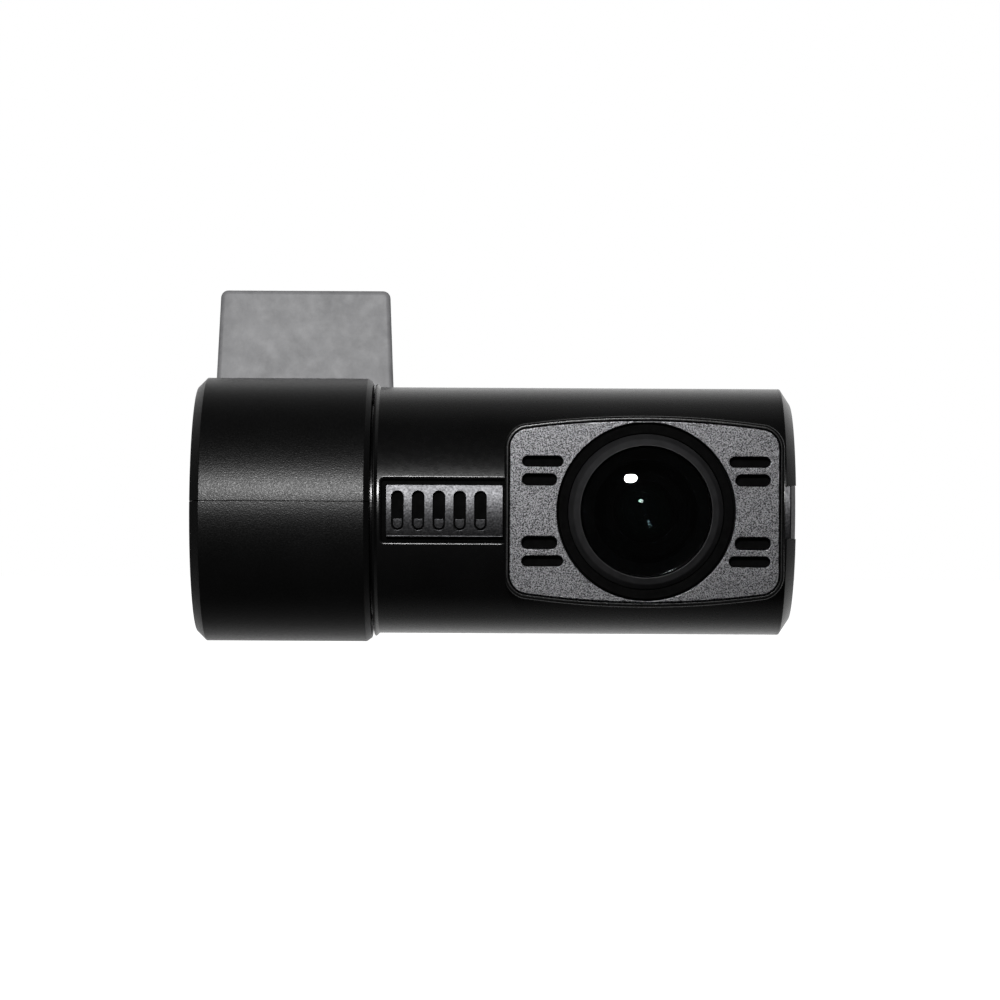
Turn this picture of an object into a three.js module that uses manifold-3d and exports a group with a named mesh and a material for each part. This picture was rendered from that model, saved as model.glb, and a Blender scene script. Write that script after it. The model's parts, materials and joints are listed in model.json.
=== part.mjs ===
// Dash camera: a cylindrical camera body that tilts in a fixed collar, and the collar slides on a stick-on bracket.
// Millimetres, +Z up. The lens looks along -Y and the long axis of the cylinder is X.
// The origin is the middle of the bracket's adhesive face.
import * as THREE from "three";
import { mergeVertices } from "three/addons/utils/BufferGeometryUtils.js";
import Module from "manifold-3d";

const wasm = await Module();
wasm.setup();

// ---- Driving dimensions -------------------------------------------------------------------------------------------

const LEAN = -5.2; // degrees that the bracket and collar lean back from the level camera
const SEAT = 0.05; // gap between pieces that rest on each other
const SEAM = 0.1; // gap between two half shells

const PLATE = { middle: -28.85, bottom: -11.2, top: 34.4, bottomWidth: 28.7, topWidth: 24.95, corner: 1 };
const PLATE_FRONT = 21.45;
const PLATE_BACK = 23.45;
const PAD_INSET = 0.9;
const PAD_THICKNESS = 1.05;
const RAIL = { left: -40, right: -19.5, middle: 10, neckHalf: 3.5, headHalf: 6, headFront: 19.95, headBack: 21.25 };
const HOOK = { left: -41.3, right: -19.2, lipFront: 18.65, lipBack: 19.75, wall: 1.7, lipHalf: 3.8, wallHalf: 6.3 };

const COLLAR = { left: -42.4, right: -17.85, radius: 18.5, inner: 16.7 };
const COLLAR_CHAMFER = { end: 1.3, neckRun: 0.75, neckDrop: 0.55 };
const FLANGE = { left: -20.6, bore: 15.2 };
const END_LIP = { right: -41.5, bore: 15.5 };
const COLLAR_SCREW = { y: 12.3, boss: 2.6, headTop: -8.1, headBottom: -9.6, headRadius: 1.8, tip: 5 };
const COLLAR_SCREWS = [-37, -29.5]; // both sit behind the axis, out of sight from the front
const BOARD_POST = { x: -36, y: 7, radius: 1.5 };

const BODY_RADIUS = 17.3;
const BODY_INNER = 15.7;
const BODY_END = 39.05;
const SHOULDER = -17.5;
const SHOULDER_RING = { edge: 0.25, rise: 0.45, crest: 0.25, run: 1.1 };
const NECK = { left: -25, radius: 14.9, bore: 13.2, lip: 15.6, lipRight: -24.2 };
const RETAINER = { left: -24.1, right: -22.5, lugLeft: -26.6, bore: 15.05, lugBore: 15.8, radius: 16.4 };
const STOP_LUG = { left: -27, right: -25.3, bore: 15.3, halfAngle: 20, middle: -45 };
const RETAINER_LUG = { halfAngle: 22, middle: 90 };

const BOSS = { left: 0.6, right: 38.8, crown: 13.05, shoulder: 12, corner: 3.4, face: -17.4, wall: 1 };
const BEZEL = { inset: 0.6, face: -17.5, back: -16.2, lensHole: 12.2 };
const POCKET = { inset: 0.5, floor: -16.1, back: -14.6 };
const LENS_X = 19.93;

const VENT = { left: -16.2, half: 4.3, floor: 16.3 };
const VENT_PANEL = { left: -15.6, right: 0.4, half: 3.65, inner: 16.35, outer: 17.2 };
const VENT_SLOTS = { count: 5, first: -14, pitch: 2.835, width: 1.58, half: 2.7 };

const CAP = { left: BODY_END + SEAT, right: 40.6, domeRadius: 8, skirtLeft: 36, skirt: 15.6 };
const CAP_CHAMFER = { left: 39.15, right: 40.54, radius: 15.2 };
const CAP_STRIP = { half: 4.3, depth: 0.8, back: -8 };

const BOARD = { left: -12, right: 36, half: 12.4, front: 7, back: 8 };
const SENSOR_BOARD = { half: 11, front: 3.35, back: 4.35 };
const CARD = { middle: 2.5, width: 11, bottom: -15.5, length: 15, front: 8.65, back: 9.35 };
const BUTTON = { x: 30, halfWidth: 2.6, half: 4.6, proud: 17.9, flange: 0.8 };
const LIGHTS_X = -9.5;
const LIGHTS_Z = [3.4, 6.2];

const WIDE = 40; // facets round the large cylinders
const INSIDE = 32;
const LENS_FACETS = 28;
const SMALL = 10;

// ---- Shapes -------------------------------------------------------------------------------------------------------

const radians = THREE.MathUtils.degToRad;

/** A closed geometry as a solid that can be joined and cut. */
function solid(geometry) {
  const bare = geometry.index ? geometry.toNonIndexed() : geometry.clone();
  bare.deleteAttribute("normal");
  bare.deleteAttribute("uv");
  const merged = mergeVertices(bare, 1e-4);
  const index = merged.index.array;
  const kept = [];
  for (let i = 0; i < index.length; i += 3) {
    const [a, b, c] = [index[i], index[i + 1], index[i + 2]];
    if (a !== b && b !== c && c !== a) kept.push(a, b, c);
  }
  const vertProperties = merged.attributes.position.array;
  const build = (list) =>
    new wasm.Manifold(new wasm.Mesh({ numProp: 3, vertProperties, triVerts: new Uint32Array(list) }));
  const made = build(kept);
  return made.volume() < 0 ? build(kept.reverse()) : made;
}

/** A solid's triangles as a geometry. */
function geometryOf(shape) {
  const mesh = shape.getMesh();
  const positions = new Float32Array(mesh.numVert * 3);
  for (let i = 0; i < mesh.numVert; i++) {
    positions.set(mesh.vertProperties.subarray(i * mesh.numProp, i * mesh.numProp + 3), i * 3);
  }
  const geometry = new THREE.BufferGeometry();
  geometry.setAttribute("position", new THREE.BufferAttribute(positions, 3));
  geometry.setIndex(new THREE.BufferAttribute(mesh.triVerts, 1));
  const facets = geometry.toNonIndexed();
  facets.computeVertexNormals();
  return facets;
}

/** Join any number of solids. */
const join = (...shapes) => shapes.reduce((whole, shape) => whole.add(shape));

/** Cut any number of solids out of the first. */
const cut = (body, ...tools) => tools.reduce((rest, tool) => rest.subtract(tool), body);

/** A box between two corners. */
function block(x0, x1, y0, y1, z0, z1) {
  const box = new THREE.BoxGeometry(x1 - x0, y1 - y0, z1 - z0);
  return solid(box.translate((x0 + x1) / 2, (y0 + y1) / 2, (z0 + z1) / 2));
}

const latheOf = (profile, facets) => new THREE.LatheGeometry(profile.map(([r, h]) => new THREE.Vector2(r, h)), facets);

/** A profile of [x, radius] points turned about the X axis. */
function turnedX(profile, facets = WIDE) {
  return solid(latheOf(profile.map(([x, r]) => [r, x]), facets).rotateZ(-Math.PI / 2));
}

/** The same in the leaning group, with the facets set upright again. */
function turnedUpright(profile, facets = WIDE) {
  const turned = latheOf(profile.map(([x, r]) => [r, x]), facets).rotateZ(-Math.PI / 2);
  return solid(turned.rotateX(radians(-LEAN)));
}

/** A profile of [radius, y] points turned about the lens axis, which is parallel to Y. */
function turnedLens(profile, facets = LENS_FACETS) {
  return solid(latheOf(profile, facets).translate(LENS_X, 0, 0));
}

/** An outline in X and Z, extruded from y0 to y1. */
function alongY(outline, y0, y1, curveSegments = 4) {
  const prism = new THREE.ExtrudeGeometry(outline, { depth: y1 - y0, bevelEnabled: false, curveSegments });
  return solid(prism.rotateX(Math.PI / 2).translate(0, y1, 0));
}

/** A round pin parallel to Y. */
function pinY(x, z, radius, y0, y1, facets = SMALL) {
  const pin = new THREE.CylinderGeometry(radius, radius, y1 - y0, facets);
  return solid(pin.translate(x, (y0 + y1) / 2, z));
}

/** A round pin parallel to Z. */
function pinZ(x, y, radius, z0, z1, facets = SMALL) {
  const pin = new THREE.CylinderGeometry(radius, radius, z1 - z0, facets);
  return solid(pin.rotateX(Math.PI / 2).translate(x, y, (z0 + z1) / 2));
}

/** A round pin parallel to X. */
function pinX(y, z, radius, x0, x1, facets = SMALL) {
  const pin = new THREE.CylinderGeometry(radius, radius, x1 - x0, facets);
  return solid(pin.rotateZ(Math.PI / 2).translate((x0 + x1) / 2, y, z));
}

/** A rectangle with round corners, as an outline. */
function roundedRectangle(x0, x1, z0, z1, r) {
  const outline = new THREE.Shape();
  outline.moveTo(x0 + r, z0);
  outline.lineTo(x1 - r, z0);
  outline.absarc(x1 - r, z0 + r, r, -Math.PI / 2, 0);
  outline.lineTo(x1, z1 - r);
  outline.absarc(x1 - r, z1 - r, r, 0, Math.PI / 2);
  outline.lineTo(x0 + r, z1);
  outline.absarc(x0 + r, z1 - r, r, Math.PI / 2, Math.PI);
  outline.lineTo(x0, z0 + r);
  outline.absarc(x0 + r, z0 + r, r, Math.PI, 1.5 * Math.PI);
  return outline;
}

/** Points of an arc between two angles in degrees, on an ellipse about a centre. */
function arc(centreA, centreB, radiusA, radiusB, from, to, steps) {
  return Array.from({ length: steps + 1 }, (_, i) => {
    const angle = radians(from + ((to - from) * i) / steps);
    return [centreA + radiusA * Math.cos(angle), centreB + radiusB * Math.sin(angle)];
  });
}

/** A sector of a ring about the X axis. Angles run in degrees from +Y towards +Z. */
function ringSector(x0, x1, inner, outer, middle, halfAngle) {
  const outline = new THREE.Shape();
  const [from, to] = [radians(middle - halfAngle), radians(middle + halfAngle)];
  outline.absarc(0, 0, outer, from, to, false);
  outline.absarc(0, 0, inner, to, from, true);
  const prism = new THREE.ExtrudeGeometry(outline, { depth: x1 - x0, bevelEnabled: false, curveSegments: 5 });
  const axes = new THREE.Matrix4().makeBasis(
    new THREE.Vector3(0, 1, 0),
    new THREE.Vector3(0, 0, 1),
    new THREE.Vector3(1, 0, 0),
  );
  return solid(prism.applyMatrix4(axes).translate(x0, 0, 0));
}

// ---- Bracket ------------------------------------------------------------------------------------------------------

/** The bracket's outline: nearly a rectangle, a little wider at the bottom, with small round corners. */
function plateOutline(inset) {
  const { middle, corner } = PLATE;
  const [z0, z1] = [PLATE.bottom + inset, PLATE.top - inset];
  const [w0, w1] = [PLATE.bottomWidth / 2 - inset, PLATE.topWidth / 2 - inset];
  const outline = new THREE.Shape();
  outline.moveTo(middle - w0 + corner, z0);
  outline.lineTo(middle + w0 - corner, z0);
  outline.quadraticCurveTo(middle + w0, z0, middle + w0, z0 + corner);
  outline.lineTo(middle + w1, z1 - corner);
  outline.quadraticCurveTo(middle + w1, z1, middle + w1 - corner, z1);
  outline.lineTo(middle - w1 + corner, z1);
  outline.quadraticCurveTo(middle - w1, z1, middle - w1, z1 - corner);
  outline.lineTo(middle - w0, z0 + corner);
  outline.quadraticCurveTo(middle - w0, z0, middle - w0 + corner, z0);
  return outline;
}

/** One hook of the bracket, on the side of the rail's middle that the sign gives. */
function hook(sign) {
  const span = (a, b) => [RAIL.middle + sign * a, RAIL.middle + sign * b].sort((p, q) => p - q);
  const across = span(HOOK.wallHalf, HOOK.wallHalf + HOOK.wall);
  const wall = block(HOOK.left, HOOK.right, HOOK.lipFront, PLATE_FRONT + 0.5, ...across);
  const lip = block(HOOK.left, HOOK.right, HOOK.lipFront, HOOK.lipBack, ...span(HOOK.lipHalf, HOOK.wallHalf + 0.5));
  return join(wall, lip);
}

function mountPlate() {
  const plate = alongY(plateOutline(0), PLATE_FRONT, PLATE_BACK);
  const reach = HOOK.wallHalf + HOOK.wall;
  const endStop = block(
    HOOK.left,
    RAIL.left - 0.3,
    HOOK.lipFront,
    PLATE_FRONT + 0.5,
    RAIL.middle - reach,
    RAIL.middle + reach,
  );
  return join(plate, hook(1), hook(-1), endStop);
}

function adhesivePad() {
  return alongY(plateOutline(PAD_INSET), PLATE_BACK + SEAT, PLATE_BACK + SEAT + PAD_THICKNESS);
}

// ---- Collar -------------------------------------------------------------------------------------------------------

/** The space inside the collar, a little longer than the collar at both ends. */
function collarSpace() {
  return turnedUpright([
    [COLLAR.left - 1, 0],
    [COLLAR.left - 1, END_LIP.bore],
    [END_LIP.right, END_LIP.bore],
    [END_LIP.right, COLLAR.inner],
    [FLANGE.left, COLLAR.inner],
    [FLANGE.left, FLANGE.bore],
    [COLLAR.right + 1, FLANGE.bore],
    [COLLAR.right + 1, 0],
  ], INSIDE);
}

/** The collar's outer form, solid. */
function collarForm() {
  const { left, right, radius } = COLLAR;
  const { end, neckRun, neckDrop } = COLLAR_CHAMFER;
  return turnedUpright([
    [left, 0],
    [left, radius - end],
    [left + end, radius],
    [right - neckRun, radius],
    [right, radius - neckDrop],
    [right, 0],
  ]);
}

/** The rail on the back of the collar that the bracket's hooks hold. */
function slideRail() {
  const { left, right, middle, neckHalf, headHalf, headFront, headBack } = RAIL;
  return join(
    block(left, right, 9, headFront + 0.5, middle - neckHalf, middle + neckHalf),
    block(left, right, headFront, headBack, middle - headHalf, middle + headHalf),
  );
}

const upperHalf = () => block(-60, 0, -30, 30, SEAM / 2, 30);
const lowerHalf = () => block(-60, 0, -30, 30, -30, -SEAM / 2);

function collarUpperShell() {
  const shell = cut(join(collarForm(), slideRail()), collarSpace());
  const inside = collarSpace().intersect(upperHalf());
  const { y, boss, tip } = COLLAR_SCREW;
  const screwBosses = COLLAR_SCREWS.map((x) => pinZ(x, y, boss, -2, 13));
  const pilots = COLLAR_SCREWS.map((x) => pinZ(x, y, 1.05, -3, tip + 0.5));
  const bosses = cut(join(...screwBosses).intersect(thickened(inside)), ...pilots);
  const half = cut(shell.intersect(upperHalf()), ...pilots);
  return join(half, bosses.intersect(upperHalf()), ...holdDowns());
}

/** The collar's space with part of the wall, so that a boss runs into the wall and not through it. */
function thickened(inside) {
  return join(inside, turnedUpright([[-40, 0], [-40, 17.4], [-26, 17.4], [-26, 0]]));
}

/** Posts that press the port's board down from above. */
function holdDowns() {
  const { x, y, radius } = BOARD_POST;
  return [-1, 1].map((side) => pinZ(x, side * y, radius, -1.9, 15.6));
}

function collarLowerShell() {
  const shell = cut(collarForm(), collarSpace()).intersect(lowerHalf());
  const { y, boss, headBottom, headTop } = COLLAR_SCREW;
  const screwBosses = COLLAR_SCREWS.map((x) => pinZ(x, y, boss, -12.5, -SEAM / 2));
  const counterbores = COLLAR_SCREWS.map((x) => pinZ(x, y, 2, -20, headTop));
  const clearances = COLLAR_SCREWS.map((x) => pinZ(x, y, 1.15, headBottom, 1));
  const boardPosts = [-1, 1].map((side) => pinZ(BOARD_POST.x, side * BOARD_POST.y, BOARD_POST.radius, -15.6, -3.1));
  const { left, right, bore, halfAngle, middle } = STOP_LUG;
  const lug = ringSector(left, right, bore, COLLAR.inner + 0.6, middle - LEAN, halfAngle);
  return cut(join(shell, ...screwBosses, ...boardPosts, lug), ...counterbores, ...clearances);
}

function collarEndDisc() {
  const face = COLLAR.left + 0.3;
  const flangeLeft = END_LIP.right + 0.25;
  const inner = flangeLeft + 1.2;
  const disc = turnedUpright([
    [face, 0],
    [face, END_LIP.bore - 0.25],
    [flangeLeft, END_LIP.bore - 0.25],
    [flangeLeft, COLLAR.inner - 0.2],
    [inner, COLLAR.inner - 0.2],
    [inner, 0],
  ]);
  return cut(disc, block(face - 1, inner + 1, -4.05, 4.05, -2.15, 2.15));
}

function usbSocket() {
  const shell = block(-41.9, -32.7, -3.85, 3.85, -1.95, 1.95);
  return cut(shell, block(-43, -31, -3.55, 3.55, -1.65, 1.65));
}

function usbContactTongue() {
  const root = block(-34.5, -32.8, -3.5, 3.5, -1.6, 1.6);
  return join(root, block(-39.9, -34, -2.6, 2.6, -0.1, 0.8));
}

const usbBoard = () => block(-39.6, -28, -9.4, 9.4, -3, -2);
const leadConnector = () => block(-31.5, -28.6, -3.2, 3.2, -2 + SEAT, 1.95);

function collarScrew(x) {
  const { y, headRadius, headBottom, headTop, tip } = COLLAR_SCREW;
  const head = pinZ(x, y, headRadius, headBottom, headTop - SEAT);
  return join(head, pinZ(x, y, 1, headTop - 0.5, tip));
}

const frictionWasher = () => washer(-21.4, -20.7, 15.1, 16.5);

/** A flat ring about the X axis. */
function washer(x0, x1, inner, outer) {
  return turnedX([[x0, inner], [x0, outer], [x1, outer], [x1, inner], [x0, inner]]);
}

// ---- Camera casing ------------------------------------------------------------------------------------------------

/** The camera's outer form without the front boss, solid. */
function bodyForm() {
  const { edge, rise, crest, run } = SHOULDER_RING;
  return turnedX([
    [NECK.left, 0],
    [NECK.left, NECK.lip],
    [NECK.lipRight - 0.1, NECK.lip],
    [NECK.lipRight, NECK.radius],
    [SHOULDER, NECK.radius],
    [SHOULDER, BODY_RADIUS + edge],
    [SHOULDER + crest, BODY_RADIUS + rise],
    [SHOULDER + run, BODY_RADIUS],
    [BODY_END, BODY_RADIUS],
    [BODY_END, 0],
  ]);
}

function bodySpace() {
  return turnedX([
    [NECK.left - 1, 0],
    [NECK.left - 1, NECK.bore],
    [SHOULDER + 0.6, NECK.bore],
    [SHOULDER + 1.8, BODY_INNER],
    [BODY_END + 1, BODY_INNER],
    [BODY_END + 1, 0],
  ], INSIDE);
}

/** The front boss's outline: straight ends, round corners, and a long top and bottom that bow outwards. */
function bossOutline(inset) {
  const [x0, x1] = [BOSS.left + inset, BOSS.right - inset];
  const [crown, shoulder, r] = [BOSS.crown - inset, BOSS.shoulder - inset, BOSS.corner - inset];
  const bow = 2 * crown - shoulder;
  const middle = (x0 + x1) / 2;
  const outline = new THREE.Shape();
  outline.moveTo(x0 + r, -shoulder);
  outline.quadraticCurveTo(middle, -bow, x1 - r, -shoulder);
  outline.absarc(x1 - r, r - shoulder, r, -Math.PI / 2, 0);
  outline.lineTo(x1, shoulder - r);
  outline.absarc(x1 - r, shoulder - r, r, 0, Math.PI / 2);
  outline.quadraticCurveTo(middle, bow, x0 + r, shoulder);
  outline.absarc(x0 + r, shoulder - r, r, Math.PI / 2, Math.PI);
  outline.lineTo(x0, r - shoulder);
  outline.absarc(x0 + r, r - shoulder, r, Math.PI, 1.5 * Math.PI);
  return outline;
}

/** One upright vent slot as a prism through the front of the casing. */
function ventSlot(index, clearance) {
  const x = VENT_SLOTS.first + index * VENT_SLOTS.pitch;
  const halfWidth = VENT_SLOTS.width / 2 - clearance;
  const half = VENT_SLOTS.half - clearance;
  return alongY(roundedRectangle(x - halfWidth, x + halfWidth, -half, half, halfWidth * 0.98), -19, -14, 3);
}

const ventSlots = (clearance) => Array.from({ length: VENT_SLOTS.count }, (_, i) => ventSlot(i, clearance));

/** Four posts behind the boss that carry the sensor board. */
function sensorPosts() {
  const reach = SENSOR_BOARD.half - 1.6;
  const corners = [[-1, -1], [-1, 1], [1, -1], [1, 1]];
  return corners.map(([a, b]) => pinY(LENS_X + a * reach, b * reach, 1.4, POCKET.floor + 0.5, 3.25));
}

function frontShell() {
  const boss = alongY(bossOutline(0), BOSS.face, -9, 6);
  const space = join(bodySpace(), alongY(bossOutline(BOSS.wall), POCKET.back, -8, 4));
  const pocket = alongY(bossOutline(POCKET.inset), BOSS.face - 1, POCKET.floor, 6);
  const well = pinY(LENS_X, 0, 12.05, -18, -14, LENS_FACETS);
  const ventRecess = washer(VENT.left, BOSS.left, VENT.floor, 20).intersect(
    block(VENT.left, BOSS.left, -20, -10, -VENT.half, VENT.half),
  );
  const trimRecess = capLayer(-1, CAP_STRIP.depth).intersect(
    block(BOSS.right, BODY_END + 1, -20, -10, -CAP_STRIP.half, CAP_STRIP.half),
  );
  const shell = cut(join(bodyForm(), boss), space, ventRecess, trimRecess, ...ventSlots(0.25));
  const front = shell.intersect(block(-40, 60, -30, -SEAM / 2, -30, 30));
  return cut(join(front, ...sensorPosts()), pocket, well, ...sensorPilots());
}

/** Blind holes for the sensor board's two screws. */
function sensorPilots() {
  return [-1, 1].map((side) => pinY(...sensorScrewPlace(side), 0.65, -1.5, 4));
}

const sensorScrewPlace = (side) => [LENS_X + side * (SENSOR_BOARD.half - 1.6), side * (SENSOR_BOARD.half - 1.6)];

const BOARD_SCREWS = [[-9, -9.4], [-9, 9.4], [33, -9.4], [33, 9.4]];

function rearShell() {
  const bosses = BOARD_SCREWS.map(([x, z]) => pinY(x, z, 1.9, BOARD.back + SEAT, 13.2));
  const half = cut(bodyForm(), bodySpace()).intersect(block(-40, 60, SEAM / 2, 30, -30, 30));
  const pilots = BOARD_SCREWS.map(([x, z]) => pinY(x, z, 0.9, BOARD.front, 12.4));
  const { middle, width, front, back } = CARD;
  const cardSlot = block(middle - width / 2 - 0.5, middle + width / 2 + 0.5, front - 0.4, back + 0.4, -20, -10);
  return cut(
    join(half, ...bosses),
    ...pilots,
    cardSlot,
    buttonPrism(0.25, 10, 20),
    pinY(LIGHTS_X, 0.5, 0.5, 10, 20),
    pinY(LIGHTS_X, -6, 0.6, 10, 20),
    ...LIGHTS_Z.map((z) => pinY(LIGHTS_X, z, 1, 10, 20)),
  );
}

/** The cap's outer profile from the joint with the shells to the axis, moved inwards by an inset. */
function capProfile(inset) {
  const run = CAP_CHAMFER.right - CAP_CHAMFER.left;
  const drop = BODY_RADIUS - CAP_CHAMFER.radius;
  const slope = Math.hypot(run, drop);
  const outerShift = (slope - run) / drop;
  const endShift = (slope - drop) / run;
  return [
    [CAP.left - 2, BODY_RADIUS - inset],
    [CAP_CHAMFER.left - inset * outerShift, BODY_RADIUS - inset],
    [CAP_CHAMFER.right - inset, CAP_CHAMFER.radius - inset * endShift],
    [CAP.right - inset, CAP.domeRadius],
    [CAP.right - inset, 0],
  ];
}

/** The layer of the cap between two insets. */
function capLayer(outer, inner) {
  return cut(
    turnedX([[CAP.left - 2, 0], ...capProfile(outer)]),
    turnedX([[CAP.left - 3, 0], [CAP.left - 3, BODY_RADIUS - inner], ...capProfile(inner)]),
  );
}

function endCap() {
  const form = turnedX([[CAP.left - 2, 0], ...capProfile(0)]).intersect(block(CAP.left, 50, -30, 30, -30, 30));
  const skirt = washer(CAP.skirtLeft, CAP.left + 0.2, CAP.skirt - 1.4, CAP.skirt);
  const { half, depth, back } = CAP_STRIP;
  const recess = capLayer(-1, depth).intersect(block(CAP.left - 0.5, 50, -30, back, -half, half));
  return cut(join(form, skirt), recess);
}

function endTrim() {
  const { depth, back } = CAP_STRIP;
  const half = VENT_PANEL.half;
  return capLayer(0.1, depth - SEAT).intersect(block(BOSS.right + SEAT, 50, -30, back - 0.5, -half, half));
}

function bezel() {
  const outline = bossOutline(BEZEL.inset);
  const lensHole = new THREE.Path().absarc(LENS_X, 0, BEZEL.lensHole, 0, 2 * Math.PI);
  outline.holes.push(lensHole, ...bezelSlots());
  return alongY(outline, BEZEL.face, BEZEL.back, 10);
}

/** The bezel's eight sound slots: each corner has a long outer one and a short inner one. */
function bezelSlots() {
  const slots = [];
  for (const side of [-1, 1]) {
    for (const level of [-1, 1]) {
      slots.push(bezelSlot(side, 11.35, 16.9, level * 6.8, 1.43));
      slots.push(bezelSlot(side, 12.2, 16.9, level * 4.3, 1.6));
    }
  }
  return slots;
}

/** One slot, from an inner to an outer distance from the lens axis, with blunt round ends. */
function bezelSlot(side, inner, outer, z, width) {
  const [x0, x1] = [LENS_X + side * inner, LENS_X + side * outer].sort((p, q) => p - q);
  const r = width / 2;
  const points = [
    ...arc(x1 - r, z, r, r, -90, 90, 4),
    ...arc(x0 + r, z, r, r, 90, 270, 4),
  ];
  return new THREE.Path(points.map(([x, up]) => new THREE.Vector2(x, up)));
}

function ventPanel() {
  const { left, right, half, inner, outer } = VENT_PANEL;
  const strip = washer(left, right, inner, outer).intersect(block(left, right, -20, -10, -half, half));
  return cut(strip, ...ventSlots(0));
}

function neckRetainer() {
  const ring = washer(RETAINER.left, RETAINER.right, RETAINER.bore, RETAINER.radius);
  const { lugLeft, left, lugBore, radius } = RETAINER;
  return join(ring, ringSector(lugLeft, left + 0.4, lugBore, radius, RETAINER_LUG.middle, RETAINER_LUG.halfAngle));
}

/** A thin spring ring whose faces wave along X as they go round. */
function waveWasher() {
  const thickness = 0.3;
  const [inner, outer] = [15.1, 16.4];
  const ring = latheOf([[inner, 0], [outer, 0], [outer, thickness], [inner, thickness], [inner, 0]], 36);
  ring.rotateZ(-Math.PI / 2);
  const place = ring.attributes.position;
  for (let i = 0; i < place.count; i++) {
    const angle = Math.atan2(place.getZ(i), place.getY(i));
    place.setX(i, place.getX(i) - 22.1 + 0.2 * Math.cos(3 * angle));
  }
  return solid(ring);
}

// ---- Lens ---------------------------------------------------------------------------------------------------------

function lensSurround() {
  return turnedLens([[11.95, -16.75], [11.95, -13], [9.05, -13], [9.05, -14.3], [10.8, -14.3], [10.8, -16.75],
    [11.95, -16.75]]);
}

function lensRetainingRing() {
  return turnedLens([[10.6, -16.4], [10.6, -14.4], [9.1, -14.4], [9.1, -18.12], [8.8, -18.12], [8.8, -18.35],
    [9.05, -18.4], [9.95, -17.7], [10.6, -16.4]]);
}

/** A lens element's face: a shallow dome from the axis out to a radius, as [radius, y] points. */
function dome(apex, edge, radius, steps) {
  return Array.from({ length: steps + 1 }, (_, i) => {
    const r = (radius * i) / steps;
    return [r, apex + (edge - apex) * (r / radius) ** 2];
  });
}

function frontElement() {
  return turnedLens([...dome(-19.3, -17.92, 8.95, 5), [8.95, -15.6], ...dome(-17.9, -15.6, 6.8, 4).reverse()]);
}

const secondElement = () => turnedLens([...dome(-13, -12.2, 4.8, 3), [4.8, -10.1], [0, -10.1]], 20);
const rearElement = () => turnedLens([[0, -3.8], [4.8, -3.8], ...dome(-1, -1.6, 4.8, 3).reverse()], 20);

function lensBarrel() {
  return turnedLens([[6.9, -15.5], [8.9, -15.5], [8.9, -11], [6.6, -11], [6.6, 1.5], [4.9, 1.5], [4.9, -3.9],
    [3.4, -3.9], [3.4, -10], [4.9, -10], [4.9, -12.6], [5.3, -12.9], [6.9, -15.5]]);
}

function lensHolder() {
  const base = block(LENS_X - 7.8, LENS_X + 7.8, 2, SENSOR_BOARD.front - SEAT, -7.8, 7.8);
  const tube = pinY(LENS_X, 0, 7.9, -5, 2.5, LENS_FACETS);
  return cut(join(base, tube), pinY(LENS_X, 0, 6.75, -6, 4, LENS_FACETS));
}

const imageSensor = () => block(LENS_X - 4, LENS_X + 4, 2.4, SENSOR_BOARD.front - SEAT, -3.25, 3.25);

function sensorBoard() {
  const { half, front, back } = SENSOR_BOARD;
  const board = block(LENS_X - half, LENS_X + half, front, back, -half, half);
  return cut(board, ...[-1, 1].map((side) => pinY(...sensorScrewPlace(side), 1, 0, 6)));
}

function sensorScrew(side) {
  const place = sensorScrewPlace(side);
  return join(pinY(...place, 1.4, SENSOR_BOARD.back + SEAT, 5.3), pinY(...place, 0.6, -1, 5));
}

// ---- Electronics --------------------------------------------------------------------------------------------------

function mainBoard() {
  const board = block(BOARD.left, BOARD.right, BOARD.front, BOARD.back, -BOARD.half, BOARD.half);
  return cut(board, ...BOARD_SCREWS.map(([x, z]) => pinY(x, z, 1.1, 6, 9)));
}

function boardScrew([x, z]) {
  return join(pinY(x, z, 1.7, 5.9, BOARD.front - SEAT), pinY(x, z, 0.8, 6.5, 12));
}

const onFront = (x0, x1, z0, z1, height) => block(x0, x1, BOARD.front - SEAT - height, BOARD.front - SEAT, z0, z1);
const onBack = (x0, x1, z0, z1, height) => block(x0, x1, BOARD.back + SEAT, BOARD.back + SEAT + height, z0, z1);

const processor = () => onFront(-5, 6, -5.5, 5.5, 1.1);
const thermalPad = () => block(-4.5, 5.5, 5.25, 5.8, -5, 5);
const heatSpreader = () => block(-5.5, 8, 4.2, 5.2, -9, 9);
const wifiAntenna = () => onFront(33.2, 35.2, -6, 6, 0.4);
const mainLeadConnector = () => onFront(-11.5, -7, -3.2, 3.2, 3.6);
const resetSwitch = () => onBack(LIGHTS_X - 1.7, LIGHTS_X + 1.7, -7.4, -4.6, 1.5);
const microphone = () => pinY(LIGHTS_X, 0.5, 2, BOARD.back + SEAT, 10.2);
const led = (z) => onBack(LIGHTS_X - 0.9, LIGHTS_X + 0.9, z - 0.6, z + 0.6, 0.7);
const lightPipe = (z) => pinY(LIGHTS_X, z, 0.85, 8.9, Math.sqrt(BODY_RADIUS ** 2 - z ** 2) - 0.1);
const backupCapacitor = (z) => pinX(11.3, z, 3.2, 12, 26, 20);

function speaker() {
  const basket = pinY(-8.3, 0, 6.2, -13.4, -11.4, 24);
  return join(basket, pinY(-8.3, 0, 3.4, -11.6, -9.6, 16));
}

function cardSocket() {
  const { middle, width, front, back } = CARD;
  const body = block(middle - width / 2 - 1.2, middle + width / 2 + 1.2, BOARD.back + SEAT, back + 0.45, -11.8, 1.5);
  return cut(body, block(middle - width / 2 - 0.3, middle + width / 2 + 0.3, front - 0.2, back + 0.2, -13, 0.2));
}

function memoryCard() {
  const { middle, width, front, back, bottom, length } = CARD;
  const card = block(middle - width / 2, middle + width / 2, front, back, bottom, bottom + length);
  const notch = block(middle + width / 2 - 1.3, middle + width / 2 + 1, front - 1, back + 1, bottom + 8.6, bottom + 20);
  return cut(card, notch);
}

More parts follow.
